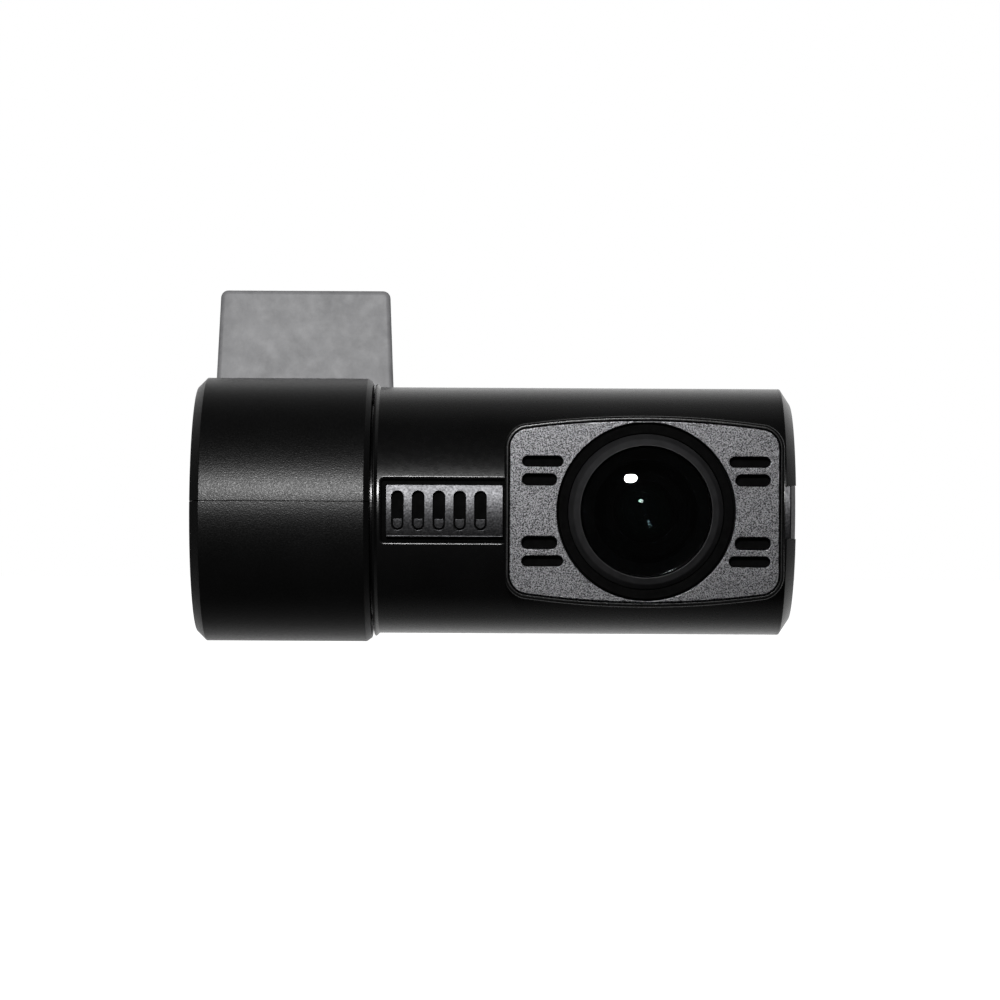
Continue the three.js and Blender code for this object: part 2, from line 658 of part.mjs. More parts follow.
/** The function button's pill outline as a prism, grown by a clearance. */
function buttonPrism(grow, y0, y1) {
  const { x, halfWidth, half } = BUTTON;
  const w = halfWidth + grow;
  return alongY(roundedRectangle(x - w, x + w, -half - grow, half + grow, w * 0.96), y0, y1, 4);
}

function functionButton() {
  const { x, proud, flange } = BUTTON;
  const crown = turnedX([[x - 5, 0], [x - 5, proud], [x + 5, proud], [x + 5, 0]]);
  const cap = buttonPrism(0, 13.4, 19).intersect(crown);
  const stem = pinY(x, 0, 1.4, 11.6, 13.2);
  return join(cap, buttonPrism(flange, 12.8, 13.8), stem);
}

function functionSwitch() {
  const { x } = BUTTON;
  return join(onBack(x - 3, x + 3, -3, 3, 2.2), pinY(x, 0, 1.7, 10, 10.95));
}

/** The flat cable, folded once between the sensor board and the main board. */
function ribbonCable() {
  const [near, far, fold] = [26, 31.4, 0.9];
  const [middle, thickness] = [5.65, 0.25];
  const outline = new THREE.Shape();
  outline.moveTo(near, middle - fold);
  outline.lineTo(far, middle - fold);
  outline.absarc(far, middle, fold, -Math.PI / 2, Math.PI / 2);
  outline.lineTo(near, middle + fold);
  outline.lineTo(near, middle + fold - thickness);
  outline.lineTo(far, middle + fold - thickness);
  outline.absarc(far, middle, fold - thickness, Math.PI / 2, -Math.PI / 2, true);
  outline.lineTo(near, middle - fold + thickness);
  const strip = new THREE.ExtrudeGeometry(outline, { depth: 8, bevelEnabled: false, curveSegments: 6 });
  return solid(strip.translate(0, 0, -4));
}

/** The power lead: along the tilt axis through the neck, then back to its connector on the main board. */
function powerLead() {
  const route = [[-28.3, 0], [-24, 0], [-19.5, 0], [-16.4, 0.6], [-14.2, 3], [-12.8, 4.9], [-11.8, 5.15]];
  const path = new THREE.CatmullRomCurve3(route.map(([x, y]) => new THREE.Vector3(x, y, 0)));
  const section = new THREE.Shape().absarc(0, 0, 1.3, 0, 2 * Math.PI);
  return solid(new THREE.ExtrudeGeometry(section, { steps: 12, extrudePath: path, curveSegments: 8 }));
}

// ---- Assembly -----------------------------------------------------------------------------------------------------

const FINISH = {
  satinBlack: [0x1a1a1c, 0.5, 0],
  glossBlack: [0x121214, 0.2, 0],
  matteBlack: [0x0c0c0d, 0.8, 0],
  greyPlastic: [0x939398, 0.55, 0],
  greyPaint: [0x6e6e70, 0.38, 0.7],
  foam: [0x2c2c2e, 0.95, 0],
  steel: [0xb8b8bc, 0.35, 1],
  aluminium: [0xc4c6c9, 0.4, 1],
  board: [0x14502c, 0.6, 0],
  chip: [0x1d1d20, 0.55, 0],
  whiteNylon: [0xe4e2da, 0.6, 0],
  glass: [0x10161a, 0.05, 0],
  polyamide: [0xb6762a, 0.5, 0],
  clear: [0xdfe6ea, 0.15, 0],
};

/** A named mesh made from a solid, added to a group. */
function addPart(group, name, shape, [color, roughness, metalness]) {
  const material = new THREE.MeshStandardMaterial({ color, roughness, metalness });
  const mesh = new THREE.Mesh(geometryOf(shape), material);
  mesh.name = name;
  group.add(mesh);
}

// Bracket and collar lean together about the tilt axis, which is the X axis of this group and of the camera's.
const fixedGroup = new THREE.Group();
fixedGroup.rotation.x = radians(LEAN);
addPart(fixedGroup, "mount_plate", mountPlate(), FINISH.greyPlastic);
addPart(fixedGroup, "adhesive_pad", adhesivePad(), FINISH.foam);
addPart(fixedGroup, "collar_upper_shell", collarUpperShell(), FINISH.satinBlack);
addPart(fixedGroup, "collar_lower_shell", collarLowerShell(), FINISH.satinBlack);
addPart(fixedGroup, "collar_end_disc", collarEndDisc(), FINISH.satinBlack);
addPart(fixedGroup, "usb_socket", usbSocket(), FINISH.steel);
addPart(fixedGroup, "usb_contact_tongue", usbContactTongue(), FINISH.matteBlack);
addPart(fixedGroup, "usb_board", usbBoard(), FINISH.board);
addPart(fixedGroup, "lead_connector", leadConnector(), FINISH.whiteNylon);
COLLAR_SCREWS.forEach((x, i) => addPart(fixedGroup, "collar_screw_" + (i + 1), collarScrew(x), FINISH.steel));
addPart(fixedGroup, "friction_washer", frictionWasher(), FINISH.whiteNylon);

const cameraGroup = new THREE.Group();
addPart(cameraGroup, "front_shell", frontShell(), FINISH.satinBlack);
addPart(cameraGroup, "rear_shell", rearShell(), FINISH.satinBlack);
addPart(cameraGroup, "end_cap", endCap(), FINISH.satinBlack);
addPart(cameraGroup, "end_trim", endTrim(), FINISH.glossBlack);
addPart(cameraGroup, "bezel", bezel(), FINISH.greyPaint);
addPart(cameraGroup, "vent_panel", ventPanel(), FINISH.satinBlack);
addPart(cameraGroup, "neck_retainer", neckRetainer(), FINISH.matteBlack);
addPart(cameraGroup, "wave_washer", waveWasher(), FINISH.steel);
addPart(cameraGroup, "lens_surround", lensSurround(), FINISH.matteBlack);
addPart(cameraGroup, "lens_retaining_ring", lensRetainingRing(), FINISH.satinBlack);
addPart(cameraGroup, "front_element", frontElement(), FINISH.glass);
addPart(cameraGroup, "second_element", secondElement(), FINISH.glass);
addPart(cameraGroup, "rear_element", rearElement(), FINISH.glass);
addPart(cameraGroup, "lens_barrel", lensBarrel(), FINISH.matteBlack);
addPart(cameraGroup, "lens_holder", lensHolder(), FINISH.matteBlack);
addPart(cameraGroup, "image_sensor", imageSensor(), FINISH.chip);
addPart(cameraGroup, "sensor_board", sensorBoard(), FINISH.board);
addPart(cameraGroup, "sensor_screw_1", sensorScrew(-1), FINISH.steel);
addPart(cameraGroup, "sensor_screw_2", sensorScrew(1), FINISH.steel);
addPart(cameraGroup, "main_board", mainBoard(), FINISH.board);
BOARD_SCREWS.forEach((place, i) => {
  addPart(cameraGroup, "board_screw_" + (i + 1), boardScrew(place), FINISH.steel);
});
addPart(cameraGroup, "processor", processor(), FINISH.chip);
addPart(cameraGroup, "thermal_pad", thermalPad(), FINISH.whiteNylon);
addPart(cameraGroup, "heat_spreader", heatSpreader(), FINISH.aluminium);
addPart(cameraGroup, "backup_capacitor_1", backupCapacitor(-4), FINISH.glossBlack);
addPart(cameraGroup, "backup_capacitor_2", backupCapacitor(4), FINISH.glossBlack);
addPart(cameraGroup, "speaker", speaker(), FINISH.matteBlack);
addPart(cameraGroup, "microphone", microphone(), FINISH.aluminium);
addPart(cameraGroup, "wifi_antenna", wifiAntenna(), FINISH.polyamide);
addPart(cameraGroup, "card_socket", cardSocket(), FINISH.steel);
addPart(cameraGroup, "function_switch", functionSwitch(), FINISH.matteBlack);
addPart(cameraGroup, "reset_switch", resetSwitch(), FINISH.matteBlack);
["power", "wifi"].forEach((name, i) => {
  addPart(cameraGroup, name + "_led", led(LIGHTS_Z[i]), FINISH.clear);
  addPart(cameraGroup, name + "_light_pipe", lightPipe(LIGHTS_Z[i]), FINISH.clear);
});
addPart(cameraGroup, "ribbon_cable", ribbonCable(), FINISH.polyamide);
addPart(cameraGroup, "main_lead_connector", mainLeadConnector(), FINISH.whiteNylon);
addPart(cameraGroup, "power_lead", powerLead(), FINISH.matteBlack);
addPart(cameraGroup, "function_button", functionButton(), FINISH.glossBlack);
addPart(cameraGroup, "memory_card", memoryCard(), FINISH.chip);

// The tilt axis sits where the middle of the leaning adhesive face comes out at the origin.
const padMiddle = new THREE.Vector3(
  PLATE.middle,
  PLATE_BACK + SEAT + PAD_THICKNESS,
  (PLATE.bottom + PLATE.top) / 2,
).applyAxisAngle(new THREE.Vector3(1, 0, 0), radians(LEAN));
const dashCamera = new THREE.Group();
dashCamera.add(fixedGroup, cameraGroup);
fixedGroup.position.copy(padMiddle).negate();
cameraGroup.position.copy(padMiddle).negate();

export default dashCamera;
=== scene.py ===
# Dash camera: the looks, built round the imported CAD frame. Pieces are drawn in millimetres round the
# tilt axis (X along the cylinder, the lens looks along -Y, +Z up) and set into the frame in metres.
import json
import math

import bmesh
import bpy
import numpy as np
from mathutils import Matrix, Vector
from mathutils.geometry import delaunay_2d_cdt


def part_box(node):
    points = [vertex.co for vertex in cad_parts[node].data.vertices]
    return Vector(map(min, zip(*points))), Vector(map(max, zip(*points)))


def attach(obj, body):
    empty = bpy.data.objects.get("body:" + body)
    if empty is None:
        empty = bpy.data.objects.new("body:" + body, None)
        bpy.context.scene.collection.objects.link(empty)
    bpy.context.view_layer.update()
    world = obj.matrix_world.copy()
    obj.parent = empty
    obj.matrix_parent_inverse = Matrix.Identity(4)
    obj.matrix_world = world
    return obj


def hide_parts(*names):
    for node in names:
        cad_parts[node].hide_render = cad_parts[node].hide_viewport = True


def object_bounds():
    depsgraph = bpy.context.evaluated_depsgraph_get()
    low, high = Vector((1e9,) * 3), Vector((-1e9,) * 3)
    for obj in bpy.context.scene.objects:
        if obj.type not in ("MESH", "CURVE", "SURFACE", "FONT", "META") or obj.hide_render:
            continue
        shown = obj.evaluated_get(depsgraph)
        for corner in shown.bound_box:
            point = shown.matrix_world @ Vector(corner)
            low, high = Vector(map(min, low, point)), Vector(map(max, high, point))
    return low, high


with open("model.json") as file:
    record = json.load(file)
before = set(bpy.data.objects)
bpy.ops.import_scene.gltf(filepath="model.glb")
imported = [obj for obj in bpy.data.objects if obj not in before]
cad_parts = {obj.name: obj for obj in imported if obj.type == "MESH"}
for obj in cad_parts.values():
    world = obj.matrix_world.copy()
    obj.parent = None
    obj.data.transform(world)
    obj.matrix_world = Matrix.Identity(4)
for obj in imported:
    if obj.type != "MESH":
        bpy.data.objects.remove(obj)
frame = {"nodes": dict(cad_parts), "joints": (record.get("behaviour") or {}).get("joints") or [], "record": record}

cad_bounds = [list(corner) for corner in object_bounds()]

# ---- Places taken from the frame ----

MM = 0.001
COLLAR_END_TO_ZERO = 42.4


def box_mm(node):
    """A CAD node's box, in millimetres from the drawing's zero."""
    low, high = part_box(node)
    return [(Vector(corner) - ORIGIN) / MM for corner in (low, high)]


def origin_of_drawing():
    """The drawing's zero in the frame: on the tilt axis, a fixed way in from the collar's outer end."""
    tilt = next(joint for joint in frame["joints"] if joint["name"] == "lens_tilt")
    collar_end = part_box("collar_lower_shell")[0][0]
    return Vector((collar_end + COLLAR_END_TO_ZERO * MM, tilt["pos_m"][1], tilt["pos_m"][2]))


def lean_of_bracket():
    """The angle, in radians about X, that the bracket and the collar lean back."""
    pad = next(mount for mount in frame["record"]["mounts"] if mount["name"] == "windshield_pad")
    return math.atan2(pad["axis"][2], pad["axis"][1])


ORIGIN = origin_of_drawing()
LEVEL = Matrix.Translation(ORIGIN) @ Matrix.Scale(MM, 4)
LEANING = Matrix.Translation(ORIGIN) @ Matrix.Rotation(lean_of_bracket(), 4, "X") @ Matrix.Scale(MM, 4)

BODY_RADIUS = box_mm("end_cap")[1].z
CAP_END = box_mm("end_cap")[1].x
BODY_END = CAP_END - 1.75
glass_low, glass_high = box_mm("front_element")
LENS_X = (glass_low.x + glass_high.x) / 2
GLASS_RADIUS = glass_high.z
GLASS_APEX = glass_low.y
collar_low, collar_high = box_mm("collar_lower_shell")
COLLAR_LEFT = collar_low.x
COLLAR_RIGHT = collar_high.x
COLLAR_RADIUS = -collar_low.z
BEZEL_FACE = box_mm("bezel")[0].y
button_low, button_high = box_mm("function_button")
BUTTON_X = (button_low.x + button_high.x) / 2

WALL_INNER = 15.7
SHOULDER = -17.5
SKIN_LEFT = SHOULDER + 0.65
SKIN_HALF_TURN = BODY_RADIUS * math.pi / 2 - 0.06
SKIN_GRID = (1.6, 0.8)
NECK_GAP_DEGREES = 0.1
BOSS = {"left": 0.6, "right": 38.8, "crown": 13.05, "shoulder": 12.0, "corner": 3.4, "face": 17.4}
RIM = 0.52
CAP_ROUNDS = (0.1, 0.2, 1.0)
TRIM_ROUNDS = (0.15, 0.2, 1.0)
BEZEL_INSET = 0.62
VENT = {"left": -16.2, "half": 4.3, "floor": 16.3}
PANEL = {"left": -15.6, "right": 0.42, "half": 3.62, "face": 17.2}
SLOTS = {"count": 5, "first": -14.0, "pitch": 2.835, "width": 1.58, "half": 2.7}
LIGHTS_X = -9.5
LIGHTS_Z = (3.4, 6.2)
SCREWS_X = (-37, -29.5)
SCREW_Y = 12.3

# ---- Outlines ----


def arc(cx, cy, rx, ry, start, end, steps):
    """Points on an ellipse, between two angles in degrees."""
    angles = [math.radians(start + (end - start) * i / steps) for i in range(steps + 1)]
    return [(cx + rx * math.cos(a), cy + ry * math.sin(a)) for a in angles]


def circle(cx, cy, r, steps=96):
    return arc(cx, cy, r, r, 0, 360, steps)[:-1]


def round_corners(corners, steps=5):
    """A closed outline whose corners are (x, y) or (x, y, radius)."""
    outline = []
    count = len(corners)
    for i, corner in enumerate(corners):
        here = Vector(corner[:2])
        radius = corner[2] if len(corner) > 2 else 0
        if radius <= 0:
            outline.append(tuple(here))
            continue
        before = (Vector(corners[i - 1][:2]) - here).normalized()
        after = (Vector(corners[(i + 1) % count][:2]) - here).normalized()
        half = before.angle(after) / 2
        reach = radius / math.tan(half)
        centre = here + (before + after).normalized() * (radius / math.sin(half))
        first = here + before * reach - centre
        last = here + after * reach - centre
        turn = math.atan2(first.x * last.y - first.y * last.x, first.dot(last))
        for k in range(steps + 1):
            a = turn * k / steps
            x = first.x * math.cos(a) - first.y * math.sin(a)
            y = first.x * math.sin(a) + first.y * math.cos(a)
            outline.append(tuple(centre + Vector((x, y))))
    return outline


def rectangle(x0, x1, y0, y1, r=0.0, steps=6):
    return round_corners([(x0, y0, r), (x1, y0, r), (x1, y1, r), (x0, y1, r)], steps)


def boss_outline(inset, bow_steps=40, corner_steps=12):
    """The front boss: straight ends, round corners, and a long top and bottom that bow outwards."""
    x0, x1 = BOSS["left"] + inset, BOSS["right"] - inset
    crown, shoulder, r = (BOSS[key] - inset for key in ("crown", "shoulder", "corner"))
    run = (x1 - r) - (x0 + r)

    def bow(sign):
        points = []
        for i in range(bow_steps + 1):
            t = i / bow_steps
            points.append((x0 + r + run * t, sign * (shoulder + (crown - shoulder) * 4 * t * (1 - t))))
        return points

    lower = bow(-1)
    upper = bow(1)[::-1]
    tilt = math.degrees(math.atan2((crown - shoulder) * 4, run))
    return (
        lower
        + arc(x1 - r, r - shoulder, r, r, -90 + tilt, 0, corner_steps)[1:]
        + arc(x1 - r, shoulder - r, r, r, 0, 90 - tilt, corner_steps)[:-1]
        + upper
        + arc(x0 + r, shoulder - r, r, r, 90 + tilt, 180, corner_steps)[1:]
        + arc(x0 + r, r - shoulder, r, r, 180, 270 - tilt, corner_steps)[:-1]
    )


def area_of(loop):
    total = 0.0
    for (x0, y0), (x1, y1) in zip(loop, loop[1:] + loop[:1]):
        total += x0 * y1 - x1 * y0
    return total / 2


def outward_normals(loop, sharp=35):
    """The outward direction at each corner of an anticlockwise loop, or None where it has a sharp corner."""
    normals = []
    count = len(loop)
    for i in range(count):
        here = Vector(loop[i])
        a = here - Vector(loop[i - 1])
        b = Vector(loop[(i + 1) % count]) - here
        if a.length < 1e-9 or b.length < 1e-9 or a.angle(b) > math.radians(sharp):
            normals.append(None)
            continue
        normals.append(Vector(((a + b).y, -(a + b).x)).normalized())
    return normals


def offset(loop, distance):
    """The loop moved to its left by a distance, with mitred corners."""
    if distance == 0:
        return list(loop)
    moved = []
    count = len(loop)
    for i in range(count):
        here = Vector(loop[i])
        a = (here - Vector(loop[i - 1])).normalized()
        b = (Vector(loop[(i + 1) % count]) - here).normalized()
        normal = Vector((-a.y - b.y, a.x + b.x))
        if normal.length < 1e-9:
            normal = Vector((-a.y, a.x))
        normal.normalize()
        stretch = max(0.5, normal.dot(Vector((-a.y, a.x))))
        moved.append(tuple(here + normal * (distance / stretch)))
    return moved


def inside(points, loop):
    """Which points lie in a loop, as an array of true and false."""
    x, y = points[:, 0], points[:, 1]
    result = np.zeros(len(points), dtype=bool)
    for (x0, y0), (x1, y1) in zip(loop, loop[1:] + loop[:1]):
        if y0 == y1:
            continue
        crosses = (y0 > y) != (y1 > y)
        result ^= crosses & (x < (x1 - x0) * (y - y0) / (y1 - y0) + x0)
    return result


# ---- Mesh tools ----


NUDGE = 0.01


def new_drawing():
    """An empty bmesh whose points can carry the direction that their surface faces."""
    bm = bmesh.new()
    bm.verts.layers.float_vector.new("facing")
    return bm


def add_point(bm, place, facing=None):
    point = bm.verts.new(place)
    if facing is not None:
        point[bm.verts.layers.float_vector["facing"]] = facing
    return point


def to_object(bm, name, place, sharp=40):
    """A finished object from a bmesh drawn in millimetres."""
    bmesh.ops.remove_doubles(bm, verts=bm.verts, dist=1e-4)
    bmesh.ops.dissolve_degenerate(bm, edges=bm.edges, dist=1e-5)
    bmesh.ops.recalc_face_normals(bm, faces=bm.faces)
    for face in bm.faces:
        face.smooth = True
    limit = math.radians(sharp)
    for edge in bm.edges:
        edge.smooth = len(edge.link_faces) == 2 and edge.calc_face_angle(0) < limit
    layer = bm.verts.layers.float_vector["facing"]
    bm.verts.index_update()
    facing = {point.index: point[layer].copy() for point in bm.verts if point[layer].length > 0.5}
    mesh = bpy.data.meshes.new(name)
    bm.to_mesh(mesh)
    bm.free()
    set_facing(mesh, facing.get)
    mesh.attributes.remove(mesh.attributes["facing"])
    mesh.transform(place)
    piece = bpy.data.objects.new(name, mesh)
    bpy.context.scene.collection.objects.link(piece)
    return piece


def set_facing(mesh, wanted, limit=50):
    """Sets corner normals to the direction wanted at each vertex, wherever that is near the face's own."""
    zero = Vector((0, 0, 0))
    cosine = math.cos(math.radians(limit))
    normals = []
    for polygon in mesh.polygons:
        for corner in polygon.vertices:
            direction = wanted(corner)
            near = direction is not None and direction.dot(polygon.normal) > cosine
            normals.append(direction if near else zero)
    mesh.normals_split_custom_set(normals)


def cap_faces(bm, loops, vertices, grid, point_at):
    """Fills the region between an outer loop and its holes with triangles, over a grid of points if asked."""
    flat = [Vector(p) for loop in loops for p in loop]
    edges = []
    start = 0
    for loop in loops:
        count = len(loop)
        edges += [(start + i, start + (i + 1) % count) for i in range(count)]
        start += count
    known = list(vertices)
    if grid:
        border = np.array([tuple(p) for p in flat])
        low, high = border.min(axis=0), border.max(axis=0)
        columns = [max(1, round((high[k] - low[k]) / grid[k])) for k in (0, 1)]
        xs = [low[0] + (high[0] - low[0]) * (i + 0.5) / columns[0] for i in range(columns[0])]
        ys = [low[1] + (high[1] - low[1]) * (j + 0.5) / columns[1] for j in range(columns[1])]
        points = np.array([(x, y) for x in xs for y in ys])
        keep = inside(points, loops[0])
        for hole in loops[1:]:
            keep &= ~inside(points, hole)
        points = points[keep]
        near = np.array([np.min(np.hypot(*(border - p).T)) for p in points])
        points = points[near > 0.4 * min(grid)]
        for p in points:
            flat.append(Vector(p))
            known.append(add_point(bm, *point_at(p[0], p[1])))
    out_verts, _, faces, origins, _, _ = delaunay_2d_cdt(flat, edges, [], 0, 1e-7)
    centres = np.array([sum((out_verts[i] for i in face), Vector((0, 0))) / len(face) for face in faces])
    keep = inside(centres, loops[0])
    for hole in loops[1:]:
        keep &= ~inside(centres, hole)
    lookup = [known[o[0]] if o else None for o in origins]
    for face, wanted in zip(faces, keep):
        if not wanted:
            continue
        corners = [lookup[i] for i in face]
        if None in corners or len(set(corners)) < 3:
            continue
        if not bm.faces.get(corners):
            bm.faces.new(corners)


def divided(loop, step):
    """The same outline with extra points along its long sides, so that it can bend."""
    points = []
    for a, b in zip(loop, loop[1:] + loop[:1]):
        count = max(1, math.ceil(math.dist(a, b) / step))
        run, rise = b[0] - a[0], b[1] - a[1]
        points += [(a[0] + run * k / count, a[1] + rise * k / count) for k in range(count)]
    return points


def add_plate(bm, loops, low, high, mapping, edges=0.3, back=0.0, grid=None, steps=4):
    """A closed sheet between two heights. edges is the front radius, for all loops or for each."""
    radii = edges if isinstance(edges, (list, tuple)) else [edges] * len(loops)
    turned = []
    for i, loop in enumerate(loops):
        loop = divided(loop, min(grid)) if grid else loop
        outward = area_of(loop) > 0
        turned.append(loop if outward == (i == 0) else loop[::-1])
    levels = []
    if back:
        levels += [("back", math.radians(90 * k / steps)) for k in range(steps)]
    levels += [("front", math.radians(90 * k / steps)) for k in range(steps + 1)]

    def ring(loop, radius, kind, angle):
        if kind == "back":
            shift, height = back * (1 - math.sin(angle)), low + back * (1 - math.cos(angle))
            return offset(loop, shift), height, math.sin(angle), -math.cos(angle)
        shift, height = radius * (1 - math.cos(angle)), high - radius * (1 - math.sin(angle))
        return offset(loop, shift), height, math.cos(angle), math.sin(angle)

    def upward(x, y, height):
        return (mapping(x, y, height + NUDGE) - mapping(x, y, height - NUDGE)).normalized()

    def ring_point(spot, outward, height, out, up):
        x, y = spot
        facing = upward(x, y, height) * up
        if out > 1e-6:
            if outward is None:
                return add_point(bm, mapping(x, y, height))
            near = Vector(spot) - outward * NUDGE
            far = Vector(spot) + outward * NUDGE
            facing += (mapping(*far, height) - mapping(*near, height)).normalized() * out
        return add_point(bm, mapping(x, y, height), facing.normalized())

    front_loops, front_verts, back_loops, back_verts = [], [], [], []
    for loop, radius in zip(turned, radii):
        outward = outward_normals(loop)
        rows = []
        if not back:
            rows.append((loop, low, 1.0, 0.0))
        for kind, angle in levels:
            rows.append(ring(loop, radius, kind, angle))
        rings = []
        for outline, height, out, up in rows:
            rings.append([ring_point(spot, side, height, out, up) for spot, side in zip(outline, outward)])
        for below, above in zip(rings, rings[1:]):
            for i in range(len(below)):
                j = (i + 1) % len(below)
                bm.faces.new((below[i], below[j], above[j], above[i]))
        front_loops.append(rows[-1][0])
        front_verts += rings[-1]
        back_loops.append(rows[0][0])
        back_verts += rings[0]
    cap_faces(bm, front_loops, front_verts, grid, lambda x, y: (mapping(x, y, high), upward(x, y, high)))
    cap_faces(bm, back_loops, back_verts, grid, lambda x, y: (mapping(x, y, low), -upward(x, y, low)))


def facing_front(x, z, height):
    return Vector((x, -height, z))


def facing_back(x, z, height):
    return Vector((x, height, z))


def facing_left(y, z, height):
    return Vector((-height, y, z))


def along_x(y, z, x):
    return Vector((x, y, z))


def along_z(x, y, z):
    return Vector((x, y, z))


def wrapped_front(x, s, radius):
    """A point of a sheet rolled round the front of the body. s is measured on the body's surface."""
    a = s / BODY_RADIUS
    return Vector((x, -radius * math.cos(a), radius * math.sin(a)))


def wrapped_back(x, s, radius):
    a = s / BODY_RADIUS
    return Vector((x, radius * math.cos(a), radius * math.sin(a)))


def unrolled(loop):
    """An outline in X and Z as it lies on the unrolled body."""
    return [(x, BODY_RADIUS * math.asin(z / BODY_RADIUS)) for x, z in loop]


def plate(name, place, loops, low, high, mapping=facing_front, **options):
    bm = new_drawing()
    add_plate(bm, loops, low, high, mapping, **options)
    return to_object(bm, name, place)


def add_lathe(bm, profile, start=0.0, sweep=360.0, steps=192, about="X", centre=(0, 0, 0)):
    """A closed profile of (along, radius) points turned about an axis. A part turn gets flat ends."""
    full = sweep >= 360
    count = steps if full else steps + 1
    anticlockwise = profile if area_of(profile) > 0 else profile[::-1]
    outward = outward_normals(anticlockwise)

    def turned(along, r, a):
        if about == "X":
            return Vector((along, r * math.cos(a), r * math.sin(a)))
        return Vector((r * math.cos(a), along, r * math.sin(a)))

    rings = []
    for k in range(count):
        a = math.radians(start + sweep * k / steps)
        ring = []
        for (along, r), side in zip(anticlockwise, outward):
            facing = None if side is None else turned(side.x, side.y, a)
            ring.append(add_point(bm, turned(along, r, a) + Vector(centre), facing))
        rings.append(ring)
    pairs = zip(rings, rings[1:] + rings[:1]) if full else zip(rings, rings[1:])
    for here, there in pairs:
        for i in range(len(here)):
            j = (i + 1) % len(here)
            bm.faces.new((here[i], here[j], there[j], there[i]))
    if not full:
        bm.faces.new(rings[0])
        bm.faces.new(rings[-1])


def lathe(name, place, profile, sharp=40, **options):
    bm = new_drawing()
    add_lathe(bm, profile, **options)
    return to_object(bm, name, place, sharp=sharp)


def lens_lathe(name, profile, sharp=30, steps=160):
    """A profile of (y, radius) points turned about the lens axis."""
    return lathe(name, LEVEL, profile, sharp=sharp, steps=steps, about="Y", centre=(LENS_X, 0, 0))


def face_outward(piece):
    """Joins doubled points, such as those on a turned piece's axis, and turns every face outward."""
    bm = bmesh.new()
    bm.from_mesh(piece.data)
    bmesh.ops.remove_doubles(bm, verts=bm.verts, dist=1e-7)
    bmesh.ops.dissolve_degenerate(bm, edges=bm.edges, dist=1e-8)
    bmesh.ops.recalc_face_normals(bm, faces=bm.faces)
    bm.to_mesh(piece.data)
    bm.free()


def carve(piece, place, facing, *cutters):
    """Cuts closed pieces out of another. facing gives a drawn point's outward direction, or None."""
    face_outward(piece)
    for cutter in cutters:
        face_outward(cutter)
        cutter.modifiers.clear()
        modifier = piece.modifiers.new("carve", "BOOLEAN")
        modifier.operation = "DIFFERENCE"
        modifier.solver = "EXACT"
        modifier.object = cutter
    graph = bpy.context.evaluated_depsgraph_get()
    carved = bpy.data.meshes.new_from_object(piece.evaluated_get(graph), depsgraph=graph)
    piece.modifiers.clear()
    piece.data = carved
    for cutter in cutters:
        bpy.data.objects.remove(cutter)
    back = place.inverted()
    turn = place.to_3x3().normalized()
    spots = [back @ vertex.co for vertex in carved.vertices]

    def wanted(corner):
        direction = facing(spots[corner])
        return None if direction is None else turn @ direction

    set_facing(carved, wanted, limit=20)
    return piece


# ---- Materials ----


def set_sockets(node, sockets):
    for socket, value in sockets.items():
        node.inputs[socket.replace("_", " ")].default_value = value


MATERIALS = {}


class Surface:
    """A Principled material with a few procedural layers, kept in MATERIALS under its name."""

    def __init__(self, name, **sockets):
        material = bpy.data.materials.new(name)
        material.use_nodes = True
        MATERIALS[name] = material
        self.tree = material.node_tree
        self.shader = self.tree.nodes["Principled BSDF"]
        set_sockets(self.shader, sockets)
        self.place = self.node("ShaderNodeTexCoord").outputs["Object"]
        self.normal = None

    def node(self, kind, **sockets):
        made = self.tree.nodes.new(kind)
        set_sockets(made, sockets)
        return made

    def texture(self, kind, size_mm, stretch=(1, 1, 1), **sockets):
        """A texture node whose pattern is about size_mm across."""
        scale = [1 / (size_mm * MM) * s for s in stretch]
        mapping = self.node("ShaderNodeMapping", Scale=scale)
        self.tree.links.new(self.place, mapping.inputs["Vector"])
        texture = self.node(kind, **sockets)
        self.tree.links.new(mapping.outputs["Vector"], texture.inputs["Vector"])
        return texture

    def noise(self, size_mm, detail=3.0, roughness=0.5, stretch=(1, 1, 1)):
        layer = {"Scale": 1.0, "Detail": detail, "Roughness": roughness}
        return self.texture("ShaderNodeTexNoise", size_mm, stretch, **layer).outputs["Fac"]

    def cells(self, size_mm):
        return self.texture("ShaderNodeTexVoronoi", size_mm, Scale=1.0).outputs["Distance"]

    def ramp(self, value, low, high, start=0.3, end=0.7):
        """Maps a noise to a number between two ends."""
        ramp = self.node("ShaderNodeMapRange", From_Min=start, From_Max=end, To_Min=low, To_Max=high)
        self.tree.links.new(value, ramp.inputs["Value"])
        return ramp.outputs["Result"]

    def colour(self, value, dark, light, start=0.3, end=0.7):
        """Varies the base colour between two colours."""
        mix = self.node("ShaderNodeMix")
        mix.data_type = "RGBA"
        set_sockets(mix, {"A": (*dark, 1), "B": (*light, 1)})
        self.tree.links.new(self.ramp(value, 0.0, 1.0, start, end), mix.inputs["Factor"])
        self.tree.links.new(mix.outputs["Result"], self.shader.inputs["Base Color"])

    def roughness(self, value, low, high):
        self.tree.links.new(self.ramp(value, low, high), self.shader.inputs["Roughness"])

    def bump(self, value, depth_mm):
        """Adds relief of a depth. Layers add up."""
        bump = self.node("ShaderNodeBump", Distance=depth_mm * MM, Strength=1.0)
        self.tree.links.new(value, bump.inputs["Height"])
        if self.normal:
            self.tree.links.new(self.normal, bump.inputs["Normal"])
        self.normal = bump.outputs["Normal"]
        self.tree.links.new(self.normal, self.shader.inputs["Normal"])


